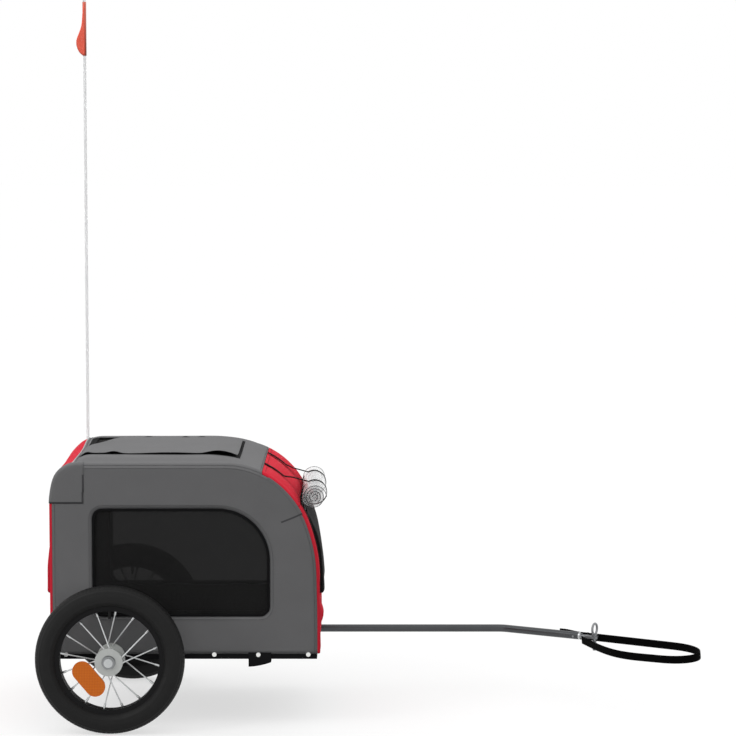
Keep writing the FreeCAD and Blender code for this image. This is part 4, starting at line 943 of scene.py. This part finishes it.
def build_patches(side, sign):
    """Grey cloth sewn over the two upper corners of a side. Dark grey strips along the rear patch's front and
    lower edges and along the front patch's lower edge are painted shadow, standing in for the shade the
    raised patches cast on the wall.
    """
    rear = Sweep([Vector((BACK + inset, sign * place, REAR_PATCH_LOW))
                  for place, inset in wrap_section(REAR_PATCH, REAR_PROUD)])
    rear.straight(Z_AXIS * (REAR_CENTRE.z - REAR_PATCH_LOW))
    rear.bend(REAR_CENTRE, QUARTER, REAR_BEND)
    for reach, mark in ((REAR_PATCH_MORE, 0), (PATCH_EDGE, 1)):
        ahead = max(vert.co.x for vert in rear.bm.verts) - PATCH_LEAD
        grow(rear.bm, border_edges(rear.bm, lambda place: place.x > ahead), X_AXIS * reach, mark)
    foot = border_edges(rear.bm, lambda place: place.z < REAR_PATCH_LOW + SMALL)
    grow(rear.bm, foot, -Z_AXIS * PATCH_EDGE, 1)
    # Above this height the rear patch's front strip turns back to plain cloth, so the painted shadow line
    # stops there.
    for face in rear.bm.faces:
        if face.calc_center_median().z > REAR_LINE_TOP:
            face.material_index = 0
    front = Sweep([on_arc(BEND_CENTRE, FRONT_BEND - inset, FRONT_PATCH_HIGH, sign * place)
                   for place, inset in wrap_section(FRONT_PATCH, FRONT_PROUD, False)])
    front.bend(BEND_CENTRE, FRONT_PATCH_HIGH - FRONT_PATCH_LOW, FRONT_BEND)
    grow(front.bm, front.line, on_arc(Vector(), PATCH_EDGE, FRONT_PATCH_LOW - QUARTER), 1)
    for name, sweep, thick in (("rear", rear, PATCH_CLOTH), ("front", front, 0)):
        settle(sweep.bm)
        face_out(sweep.bm, from_cabin)
        map_cloth(sweep.bm, lambda vert: (vert.co.x, vert.co.z - abs(vert.co.y)))
        make(f"{side}_{name}_corner_patch", sweep.bm, "trailer", (GREY_CLOTH, PATCH_EDGE_PAINTED_SHADOW), (),
             thick)


# Roof window and its flap.
def roof_height(x, y):
    fall = FRONT_BEND - sqrt(FRONT_BEND ** 2 - max(x - ROOF_FRONT, 0) ** 2)
    return ROOF - fall + roof_crown(Vector((x, y, ROOF)))


def roof_grid(back, front, half, size):
    """A flat grid over a part of the roof as seen from above, with its map for the weave."""
    bm = bmesh.new()
    segments = [ceil((front - back) / size), ceil(2 * half / size)]
    grid = bmesh.ops.create_grid(bm, x_segments=segments[0], y_segments=segments[1], size=0.5)["verts"]
    bmesh.ops.scale(bm, verts=grid, vec=(front - back, 2 * half, 1))
    bmesh.ops.translate(bm, verts=grid, vec=((front + back) / 2, 0, 0))
    map_cloth(bm, lambda vert: (vert.co.x, vert.co.y))
    return bm


def lay_on_roof(bm, rise):
    """Lay a grid on the arched roof, by rise(place) above its cloth."""
    for vert in bm.verts:
        vert.co.z = roof_height(vert.co.x, vert.co.y) + rise(vert.co)


MESH_BELOW = 2
TAPE_BACK, TAPE_OVER, TAPE_ASIDE, TAPE_INSIDE, TAPE_STEP = 5, 5, 1, 6, 5
TAPE_LIFT, TAPE_THICK, TAPE_STAND, TAPE_EDGE = 0.8, 0.6, 2.5, (FLAP_HALF - 8, FLAP_HALF)
TAPE_WAVES = ((34, 66), (115, 140), (149, 178))


def tape_lift(place):
    """The tape lies on the roof and stands up in waves along its far edge."""
    stand = sum(hill(place.x, *wave) for wave in TAPE_WAVES) * ease(place.y, *TAPE_EDGE)
    return TAPE_LIFT + TAPE_STAND * stand


def build_roof_window():
    bm = roof_grid(HATCH_BACK - MESH_UNDER, HATCH_FRONT + MESH_UNDER, HATCH_HALF + MESH_UNDER, CLOTH_STEP)
    lay_on_roof(bm, lambda place: -MESH_BELOW)
    mesh = make("roof_window_mesh", bm, "trailer", DOOR_MESH, ("roof_mesh",))
    bm = roof_grid(FLAP_BACK + TAPE_BACK, FLAP_FRONT + TAPE_OVER, FLAP_HALF + TAPE_ASIDE, TAPE_STEP)
    inside = [face for face in bm.faces if in_hatch(face.calc_center_median(), TAPE_INSIDE)]
    bmesh.ops.delete(bm, geom=inside, context="FACES")
    lay_on_roof(bm, tape_lift)
    make("roof_zip_tape", bm, "trailer", BLACK_TAPE, (), TAPE_THICK)


# The flap's waves are given by height and length on its edges, and by height and ends where it lifts.
FLAP_STEP, FLAP_CLOTH, FLAP_REST, FLAP_LOOSE, FLAP_FRONT_LIFT = 6, 1.2, 1.2, 0.3, 1.2
FLAP_NEAR_WAVE, FLAP_FAR_WAVE, FLAP_RIPPLE = (1.5, 21), (4, 17), (0.6, 60)
FLAP_FAR_IN, FLAP_CORNER_IN, FLAP_CORNER = 7, 108, (2, -60)
FLAP_LIFTS = ((3, -72, -44), (4, -24, 20), (1.2, 40, 190), (7, 168, 266))
FLAP_SIDE, FLAP_AHEAD = (FLAP_HALF - 50, FLAP_HALF - 4), (FLAP_FRONT - 30, FLAP_FRONT)


def flap_half(x, far):
    """Half the flap's width: its far edge runs in soft waves and is drawn in at the rear corner."""
    height, length = FLAP_FAR_WAVE if far else FLAP_NEAR_WAVE
    wave = height * sin(x / length)
    if not far:
        return FLAP_HALF + wave
    return FLAP_HALF - FLAP_FAR_IN - wave - FLAP_CORNER_IN * ease(x, *FLAP_CORNER)


def flap_lift(place):
    """The flap lies on the roof and its loose near edge lifts in waves."""
    height, length = FLAP_RIPPLE
    ripple = (1 + noise.noise(Vector((place.x, place.y, 0)) / length)) * height
    near = FLAP_LOOSE + sum(rise * hill(place.x, back, front) for rise, back, front in FLAP_LIFTS)
    ahead = FLAP_FRONT_LIFT * ease(place.x, *FLAP_AHEAD)
    return FLAP_REST + ripple + near * ease(abs(place.y), *FLAP_SIDE) * (place.y < 0) + ahead


def build_roof_flap():
    bm = roof_grid(FLAP_BACK, FLAP_FRONT, FLAP_HALF, FLAP_STEP)
    for vert in bm.verts:
        vert.co.y *= flap_half(vert.co.x, vert.co.y > 0) / FLAP_HALF
    lay_on_roof(bm, flap_lift)
    face_out(bm, lambda point: Z_AXIS)
    flap = make("cloth_roof_flap", bm, "roof_flap", GREY_CLOTH, ("roof_flap",), FLAP_CLOTH,
                offset=1, smooth_levels=1)


SEAM_IN, SEAM_ASIDE, ZIP_SEAM = 12, 6, 4
PIPING, PIPING_PITCH, PIPING_LIFT = (6.2, 3, 2.4), 6, 0.6


def build_seam_rows(tree):
    """Stitch rows beside the seams across the roof and the band, and piping along the rear seam."""
    across = spread([-HALF_WIDTH + SEAM_IN, HALF_WIDTH - SEAM_IN], SEAM_STEP)

    def row(x, z):
        return [Vector((x, place, z)) for place in across]

    height = BEND_Z + sqrt(FRONT_BEND ** 2 - (BAND_START + SEAM_ASIDE - ROOF_FRONT) ** 2)
    over_zip = ZIP_TOP + SEAM_ASIDE
    grey = [row(ROOF_BACK + SEAM_ASIDE, ROOF), row(BAND_START - SEAM_ASIDE, height)]
    red = [row(BAND_START + SEAM_ASIDE, height), row(front_x(over_zip), over_zip)]
    for sign in SIDES.values():
        aside = sign * (DOOR_HALF + ZIP_WIDTH + ZIP_SEAM)
        red.append([on_front(aside, rise) for rise in spread([DOOR_LOW, ZIP_TOP], SEAM_STEP)])
        red.append([Vector((BACK, aside, rise)) for rise in spread([DOOR_LOW, REAR_DOOR_HIGH], SEAM_STEP)])
    stitch("roof_stitching", grey, tree, GREY_THREAD, "grey_cloth")
    stitch("front_and_rear_stitching", red, tree, RED_THREAD, "red_cloth")
    seam_height = REAR_CENTRE.z + sqrt(REAR_BEND ** 2 - (ROOF_BACK - REAR_CENTRE.x) ** 2)
    outward = (Vector((ROOF_BACK, 0, seam_height)) - REAR_CENTRE).normalized()
    line = [spot + outward * roof_crown(spot) for spot in row(ROOF_BACK, seam_height)]
    stitch("rear_seam_piping", [line], tree, GREY_TAPE, "grey_cloth", PIPING, PIPING_PITCH, PIPING_LIFT,
           bevel=0.9)


# Rolled rain cover and its ties.
ROLL_RADIUS, ROLL_GAP, ROLL_ANGLE, ROLL_HALF = 23.5, 6.3, radians(27.7), 186
ROLL_STEP, ROLL_HALF_TURNS, ROLL_SKEW = 3, 7, Vector((4.5, 0, 4))
FILM_THICK, ROLL_ACROSS_STEP, ROLL_ROUND_STEP = 1.5, 12, 5
CRUMPLE, CRUMPLE_LENGTH, ROLL_CLEAR = 0.06, 33, (FRONT_BEND + 3, FRONT_BEND + 11)
TIE_HALF, TIE_THICK, TIE_STEP, TIE_ROUND = 7.5, 1.1, 5, 2 * pi * 0.92
TIE_ON_BAND, TIE_ON_ROLL = FRONT_BEND + 2.5, ROLL_RADIUS + 1.4
TIE_LEAVE, TIE_MEET = radians(48), radians(120)
ROLL_CENTRE = on_arc(BEND_CENTRE, FRONT_BEND + ROLL_GAP + ROLL_RADIUS, ROLL_ANGLE)


def skew_roll(bm):
    """The roll hangs a little crooked: its far end lies further back and lower."""
    for vert in bm.verts:
        clear = ease((vert.co - BEND_CENTRE).xz.length, *ROLL_CLEAR)
        vert.co -= ROLL_SKEW * clear * vert.co.y / ROLL_HALF


def build_roll():
    """Clear film rolled up, drawn as half turns about two centres one turn's gap apart."""
    across = spread([-ROLL_HALF, ROLL_HALF], ROLL_ACROSS_STEP)
    roll = Sweep([ROLL_CENTRE + Vector((ROLL_RADIUS, place, 0)) for place in across])
    for half in range(ROLL_HALF_TURNS):
        centre = ROLL_CENTRE - X_AXIS * ROLL_STEP * (half % 2)
        roll.bend(centre, -pi, ROLL_RADIUS - half * ROLL_STEP, ROLL_ROUND_STEP)
    strip_map(roll.bm)
    for vert in roll.bm.verts:
        away = vert.co - ROLL_CENTRE
        away.y = 0
        vert.co += away * noise.noise(vert.co / CRUMPLE_LENGTH) * CRUMPLE
    skew_roll(roll.bm)
    turn_out(roll.bm)
    # The rim of the film's thickness takes the dark edge finish, painted shade for the roll's outlines.
    film = make("rain_cover_film", roll.bm, "trailer", (FILM, FILM_EDGE_PAINTED_SHADE), ("rain_cover_roll",),
                FILM_THICK, offset=0, rim=1)


def add_sweep(bm, sweep):
    """Copy a finished sweep into a larger shape."""
    mesh = to_mesh("part", sweep.bm)
    bm.from_mesh(mesh)
    bpy.data.meshes.remove(mesh)


def build_ties():
    both = bmesh.new()
    begin = acos((BAND_START - ROOF_FRONT) / FRONT_BEND)
    leave = on_arc(BEND_CENTRE, TIE_ON_BAND, TIE_LEAVE)
    meet = on_arc(ROLL_CENTRE, TIE_ON_ROLL, TIE_MEET)
    for sign in SIDES.values():
        places = spread([sign * TIE_PLACE - TIE_HALF, sign * TIE_PLACE + TIE_HALF], TIE_STEP)
        tie = Sweep([on_arc(BEND_CENTRE, TIE_ON_BAND, begin, place) for place in places])
        tie.bend(BEND_CENTRE, begin - TIE_LEAVE, TIE_ON_BAND, TIE_STEP)
        tie.straight(meet - leave, SEAM_STEP)
        tie.bend(ROLL_CENTRE, TIE_ROUND, TIE_ON_ROLL, TIE_STEP)
        map_cloth(tie.bm, lambda vert: (vert[tie.along], vert.co.y))
        add_sweep(both, tie)
    skew_roll(both)
    turn_out(both)
    make("rain_cover_tie_bands", both, "trailer", STRAP_WEB, ("rain_cover_ties",), TIE_THICK,
         offset=0, bevel=0.4)


# Safety strap at the hitch.
BAR_END = Vector((966.348, 108, 126.7))
BAR_TURN, STRAP_TILT = radians(-30), radians(12)
STRAP_BASE, STRAP_HOLD = 9.55, 50
STRAP_REACH, STRAP_TIP, STRAP_POINT, STRAP_SIDE, STRAP_WIDTH, STRAP_THICK = 292, 37, 72, 4, 17, 2.5
STRAP_NEAR_START, STRAP_BOW, STRAP_BELLY, STRAP_DROP = 8, 2.2, 8, 3.5
STRAP_LEAVE, STRAP_STEP, STRAP_TIP_STEPS, STRAP_BACK_STEPS, STRAP_WIDTH_STEP = 4, 6, 24, 48, 4
STRAP_LOOSE, STRAP_SMOOTHINGS, STRAP_DROP_ALONG = 6, 6, (-40, 0)
BAR_PLACE = Matrix.Translation(BAR_END) @ Matrix.Rotation(BAR_TURN, 4, "Z")
STRAP_PLACE = BAR_PLACE @ Matrix.Rotation(STRAP_TILT, 4, "X")
RIVET_PLACE, RIVET_RADIUS, RIVET_HEAD, RIVET_SHANK = 15, 5, 2, 2.5
CROSS_PIN_PLACE, BAR_RADIUS, CROSS_PIN_RADIUS = -12, 8, 2.7


def strap_path():
    """The strap's line seen from above: along the bar, out, round the long tip and back in a bow."""
    middle = Vector((STRAP_REACH - STRAP_POINT, STRAP_SIDE - STRAP_TIP, 0))
    far, near = middle + Y_AXIS * STRAP_TIP, middle - Y_AXIS * STRAP_TIP
    line = walk([Vector((-STRAP_HOLD, STRAP_BASE, 0)), Vector((STRAP_LEAVE, STRAP_BASE, 0)), far], STRAP_STEP)
    for step in range(1, STRAP_TIP_STEPS + 1):
        turn = QUARTER - pi * step / STRAP_TIP_STEPS
        line.append(middle + Vector((STRAP_POINT * cos(turn), STRAP_TIP * sin(turn), 0)))
    for step in range(1, STRAP_BACK_STEPS + 1):
        back = 1 - step / STRAP_BACK_STEPS
        bow = (near.y + STRAP_BASE) * (1 - (1 - back) ** STRAP_BOW)
        aside = bow - STRAP_BASE - STRAP_BELLY * hill(back, 0, 1)
        line.append(Vector((STRAP_NEAR_START + (near.x - STRAP_NEAR_START) * back, aside, 0)))
    return line


def build_strap():
    path = strap_path()
    strap = Sweep([point - Z_AXIS * STRAP_WIDTH / 2 for point in path])
    strap.straight(Z_AXIS * STRAP_WIDTH, STRAP_WIDTH_STEP)
    bm = strap.bm
    loose = [vert for vert in bm.verts if vert.co.x > STRAP_LOOSE]
    for _ in range(STRAP_SMOOTHINGS):
        bmesh.ops.smooth_vert(bm, verts=loose, factor=0.5, use_axis_x=True, use_axis_y=True)
    run = [0.0]
    for start, end in zip(path, path[1:]):
        run.append(run[-1] + (end - start).length)
    bm.verts.index_update()
    bm.verts.ensure_lookup_table()
    count = len(path)
    map_cloth(bm, lambda vert: (run[vert.index % count], vert[strap.along]))
    turn_out(bm)
    for vert in bm.verts:
        vert.co.z -= STRAP_DROP * ease(vert.co.x, *STRAP_DROP_ALONG)
    bmesh.ops.transform(bm, matrix=STRAP_PLACE, verts=bm.verts)
    loop = make("safety_strap_loop", bm, "drawbar", STRAP_WEB, ("safety_strap",), STRAP_THICK,
                offset=0, bevel=0.6)


def build_rivet():
    """The rivet through both ends of the strap, and the flush cross pin behind it."""
    bm = bmesh.new()
    reach = STRAP_BASE + STRAP_THICK / 2
    sizes = [(CROSS_PIN_PLACE, 0, CROSS_PIN_RADIUS, 2 * BAR_RADIUS), (RIVET_PLACE, 0, RIVET_SHANK, 2 * reach)]
    for sign in SIDES.values():
        sizes.append((RIVET_PLACE, sign * (reach + RIVET_HEAD / 2), RIVET_RADIUS, RIVET_HEAD))
    lie = Matrix.Rotation(QUARTER, 4, "X")
    for along, aside, radius, length in sizes:
        rod(bm, radius, length, STRAP_PLACE @ Matrix.Translation((along, aside, 0)) @ lie)
    make("strap_end_rivet", bm, "drawbar", HITCH_STEEL, ("strap_rivet",), bevel=0.7)


# Hitch pin: each step's radius, foot and head, and its pull ring.
PIN_REACH, PIN_SIDES, PIN_STEPS = 36, 32, ((4, -28, -3), (4.5, -4, 3), (6, 3.2, 6.2), (3, 6, 9))
RING_RADIUS, RING_WIRE, RING_RISE, RING_SIDES, RING_STEPS = 11.5, 2.5, 17.8, 16, 40


def build_hitch_pin():
    """The stepped pin that stands in the tongue, with its pull ring through the head."""
    bm = bmesh.new()
    for radius, low, high in PIN_STEPS:
        rod(bm, radius, high - low, Matrix.Translation(Z_AXIS * (low + high) / 2), PIN_SIDES)
    centre = Z_AXIS * RING_RISE
    lie = Matrix.Translation(centre + Z_AXIS * RING_RADIUS) @ Matrix.Rotation(QUARTER, 4, "X")
    wire = bmesh.ops.create_circle(bm, segments=RING_SIDES, radius=RING_WIRE, matrix=lie)["verts"]
    edges = {edge for vert in wire for edge in vert.link_edges}
    bmesh.ops.spin(bm, geom=wire + list(edges), cent=centre, axis=X_AXIS, angle=2 * pi, steps=RING_STEPS,
                   use_merge=True)
    turn_out(bm)
    bmesh.ops.transform(bm, matrix=BAR_PLACE @ Matrix.Translation(X_AXIS * PIN_REACH), verts=bm.verts)
    make("hitch_pin_and_ring", bm, "hitch_pin", HITCH_STEEL, ("hitch_pin",), bevel=0.4)


# Spare bracket.
RAIL_BOTTOM, BRACKET_SHEET, BRACKET_NOSE, BRACKET_CURVE, BRACKET_STEPS = 137, 2, 131, 1.8, 12


def build_spare_bracket():
    """The unused bracket on the right rail: an outer cheek and an inner lip with curved feet, and a web."""
    low, high = [TO_FRAME.inverted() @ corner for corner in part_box("right_drawbar_bracket")]
    bm = bmesh.new()
    for outside, top in ((low.y, high.z), (high.y - BRACKET_SHEET, RAIL_BOTTOM)):
        shares = [step / BRACKET_STEPS for step in range(BRACKET_STEPS + 1)]
        foot = [Vector((low.x + (high.x - low.x) * share, outside,
                        low.z + (BRACKET_NOSE - low.z) * share ** BRACKET_CURVE)) for share in shares]
        corners = foot + [Vector((high.x, outside, top)), Vector((low.x, outside, top))]
        face = bm.faces.new([bm.verts.new(corner) for corner in corners])
        made = bmesh.ops.extrude_face_region(bm, geom=[face])["geom"]
        bmesh.ops.translate(bm, verts=new_verts(made), vec=Y_AXIS * BRACKET_SHEET)
    size = Vector((high.x - low.x, high.y - low.y - BRACKET_SHEET, BRACKET_SHEET))
    middle = Vector(((low.x + high.x) / 2, (low.y + high.y) / 2, RAIL_BOTTOM - BRACKET_SHEET / 2))
    block(bm, Matrix.Translation(middle), size)
    turn_out(bm)
    make("spare_bracket", bm, "trailer", FRAME_COAT, ("right_drawbar_bracket",), bevel=0.4)


# Flag.
POLE_X, POLE_Y, POLE_TOP = -88, 214.6, 1476
FLAG_HOIST, FLAG_LENGTH, FLAG_TIP_RISE, FLAG_TIP, SLEEVE = 114, 172, 20, 8, 3.8
FLAG_BELOW_TOP, FLAG_BOW, FLAG_BOW_SPAN, FLAG_SAG, FLAG_SWEEP = 3.5, 3, (0.1, 1.05), 6, 5
FLAG_ALONG_STEPS, FLAG_UP_STEPS, FLAG_THICK, FLAG_GAP = 26, 16, 0.5, 3
SLEEVE_SIDES, SLEEVE_OFF = 20, 0.3


def build_flag():
    bm = bmesh.new()
    grid = bmesh.ops.create_grid(bm, x_segments=FLAG_ALONG_STEPS, y_segments=FLAG_UP_STEPS, size=0.5)["verts"]
    map_cloth(bm, lambda vert: ((vert.co.x + 0.5) * FLAG_LENGTH, vert.co.y * FLAG_HOIST))
    low = POLE_TOP - FLAG_BELOW_TOP - FLAG_HOIST
    for vert in grid:
        out, up = vert.co.x + 0.5, vert.co.y + 0.5
        foot = FLAG_TIP_RISE * out ** FLAG_SWEEP
        head = FLAG_HOIST + (FLAG_TIP_RISE + FLAG_TIP - FLAG_HOIST) * out - FLAG_SAG * hill(out, 0, 1)
        bow = FLAG_BOW * hill(out, *FLAG_BOW_SPAN)
        height = low + foot + (head - foot) * up
        vert.co = Vector((POLE_X + bow, POLE_Y - FLAG_GAP - FLAG_LENGTH * out, height))
    turn_out(bm)
    tube = bmesh.ops.create_cone(bm, segments=SLEEVE_SIDES, radius1=SLEEVE, radius2=SLEEVE,
                                 depth=FLAG_HOIST)["verts"]
    bmesh.ops.translate(bm, verts=tube, vec=(POLE_X, POLE_Y - SLEEVE_OFF, low + FLAG_HOIST / 2))
    for face in {face for vert in tube for face in vert.link_faces}:
        face.material_index = 1
    flag = make("flag_pennant", bm, "flag", (FLAG_CLOTH_PAINTED_GLOW, FLAG_SLEEVE_PAINTED_LIGHT), ("flag",), FLAG_THICK,
                offset=0)


# Tyres.
WHEEL_RADIUS, WHEEL_ASIDE, TYRE_ROUND = 150, 280, 23
TYRE_LIP, TREAD_FROM = radians(-55), radians(48)
TREAD_RISE, TREAD_GAP, TREAD_BASE, TREAD_BLOCK = 0.9, 1.0, 0.25, 0.7
TYRE_STEPS, TYRE_TURN = 108, 0.14
BEAD_LINE, SHOULDER_LINE, RIB_HALF, RIB_RISE = radians(-22), radians(36), 0.1, 1.3


def tyre_section(turn):
    """Distance from the middle of the tyre's round at an angle up from its side."""
    tread = TREAD_RISE * TREAD_BASE if turn > TREAD_FROM else 0
    rib = sum(hill(turn, line - RIB_HALF, line + RIB_HALF) for line in (BEAD_LINE, SHOULDER_LINE))
    return TYRE_ROUND - TREAD_RISE + RIB_RISE * rib + tread


def build_tyre(side, sign):
    bm = bmesh.new()
    centre = Vector((0, sign * WHEEL_ASIDE, WHEEL_RADIUS))
    ribs = [line + RIB_HALF * way for line in (BEAD_LINE, SHOULDER_LINE) for way in (-1, 0, 1)]
    one_side = spread([TYRE_LIP, *ribs, TREAD_FROM, QUARTER], TYRE_TURN)
    points = [Vector((0, cos(turn), sin(turn))) * tyre_section(turn) for turn in one_side]
    mirrored = [Vector((0, -point.y, point.z)) for point in reversed(points[:-1])]
    rise = Z_AXIS * (WHEEL_RADIUS - TYRE_ROUND)
    verts = [bm.verts.new(centre + rise + point) for point in points + mirrored]
    edges = [bm.edges.new(pair) for pair in zip(verts, verts[1:])]
    bmesh.ops.spin(bm, geom=verts + edges, cent=centre, axis=Y_AXIS, angle=2 * pi, steps=TYRE_STEPS,
                   use_merge=True)
    face_out(bm, lambda point: (point - centre - (point - centre).normalized() * (WHEEL_RADIUS - TYRE_ROUND)))
    reach = WHEEL_RADIUS - TYRE_ROUND + sin(TREAD_FROM) * TYRE_ROUND
    blocks = [face for face in bm.faces
              if hypot(face.calc_center_median().x, face.calc_center_median().z - WHEEL_RADIUS) > reach]
    bmesh.ops.inset_individual(bm, faces=blocks, thickness=TREAD_GAP, depth=TREAD_RISE * TREAD_BLOCK)
    make(f"{side}_moulded_tyre", bm, f"{side}_wheel", TYRE, (f"{side}_tyre",))


# Floor, light and camera.
def seen_by_eye(tree):
    """1 for rays from the camera and for those that mirrors and glass send on."""
    path = add(tree, "LightPath").outputs
    seen = path["Is Camera Ray"]
    for ray in ("Is Glossy Ray", "Is Transmission Ray"):
        seen = add(tree, "Math", {"operation": "MAXIMUM"}, {0: seen, 1: path[ray]}).outputs[0]
    return seen


WHITE = linear("ffffff")
FLOOR_HALF, FLOOR_GLOW, FLOOR_DARK, FLOOR_PALE = 40, 0.6, "484848", "aaaaaa"


def build_floor():
    bm = bmesh.new()
    bmesh.ops.create_grid(bm, x_segments=1, y_segments=1, size=FLOOR_HALF)
    mesh = to_mesh("studio_floor", bm)
    floor = place_object("studio_floor", mesh)
    material, tree, surface = blank("pale_studio_floor")
    seen = seen_by_eye(tree)
    mix_colours(tree, surface, FLOOR_DARK, FLOOR_PALE, seen)
    glow = add(tree, "Math", {"operation": "MULTIPLY", 1: FLOOR_GLOW}, {0: seen}).outputs[0]
    tree.links.new(glow, surface.inputs["Emission Strength"])
    set_inputs(surface, Emission_Color=WHITE, Roughness=1, Specular_IOR_Level=0)
    material.cycles.emission_sampling = "NONE"
    mesh.materials.append(material)


# Lamps in metres and watts: where each stands, what it points at, its size and its power.
LAMPS = {
    "overhead_softbox": ((-0.2, -0.6, 4.2), (0, 0, 0), 4.0, 10),
    "side_softbox": ((-2.4, -1.6, 3.0), (0.2, 0.1, 0.2), 1.2, 14),
    "rear_softbox": ((-4.0, -2.3, 0.9), (0.4, -0.1, 0.2), 1.0, 14),
}


def build_light():
    world = bpy.data.worlds.new("studio")
    bpy.context.scene.world = world
    world.use_nodes = True
    set_inputs(world.node_tree.nodes["Background"], Color=WHITE, Strength=1)
    for name, (spot, aim, size, power) in LAMPS.items():
        lamp = set_up(bpy.data.lights.new(name, "AREA"), size=size, energy=power)
        turn = (Vector(aim) - Vector(spot)).to_track_quat("-Z", "Y").to_euler()
        place_object(name, lamp, location=spot, rotation_euler=turn)


FRAME_PIXELS, LENS_PIXELS, SENSOR, CAMERA_SEES = 736, 2884, 36, 100
CAMERA_AHEAD, CAMERA_ASIDE, CAMERA_HEIGHT, CAMERA_DIP = 515.7, -5966, 1248.5, radians(5.16)


def build_camera():
    camera = set_up(bpy.data.cameras.new("camera"), sensor_width=SENSOR,
                    lens=SENSOR * LENS_PIXELS / FRAME_PIXELS, clip_end=CAMERA_SEES)
    spot = TO_FRAME @ Vector((CAMERA_AHEAD, CAMERA_ASIDE, CAMERA_HEIGHT))
    turn = (QUARTER - CAMERA_DIP, 0, 0)
    bpy.context.scene.camera = place_object("camera", camera, location=spot, rotation_euler=turn)


finish_cad_nodes()
build_camera()
build_floor()
build_light()
cloth = cabin_sheet()
cloth_tree = BVHTree.FromBMesh(cloth)
build_panels(cloth)
build_doors(cloth)
cloth.free()
build_zips(cloth_tree)
build_seam_rows(cloth_tree)
for side, sign in SIDES.items():
    build_wall(side, sign)
    build_window(side, sign)
    build_patches(side, sign)
    build_tyre(side, sign)
build_roof_window()
build_roof_flap()
build_roll()
build_ties()
build_strap()
build_rivet()
build_hitch_pin()
build_spare_bracket()
build_flag()
bpy.context.scene.view_settings.view_transform = "Standard"
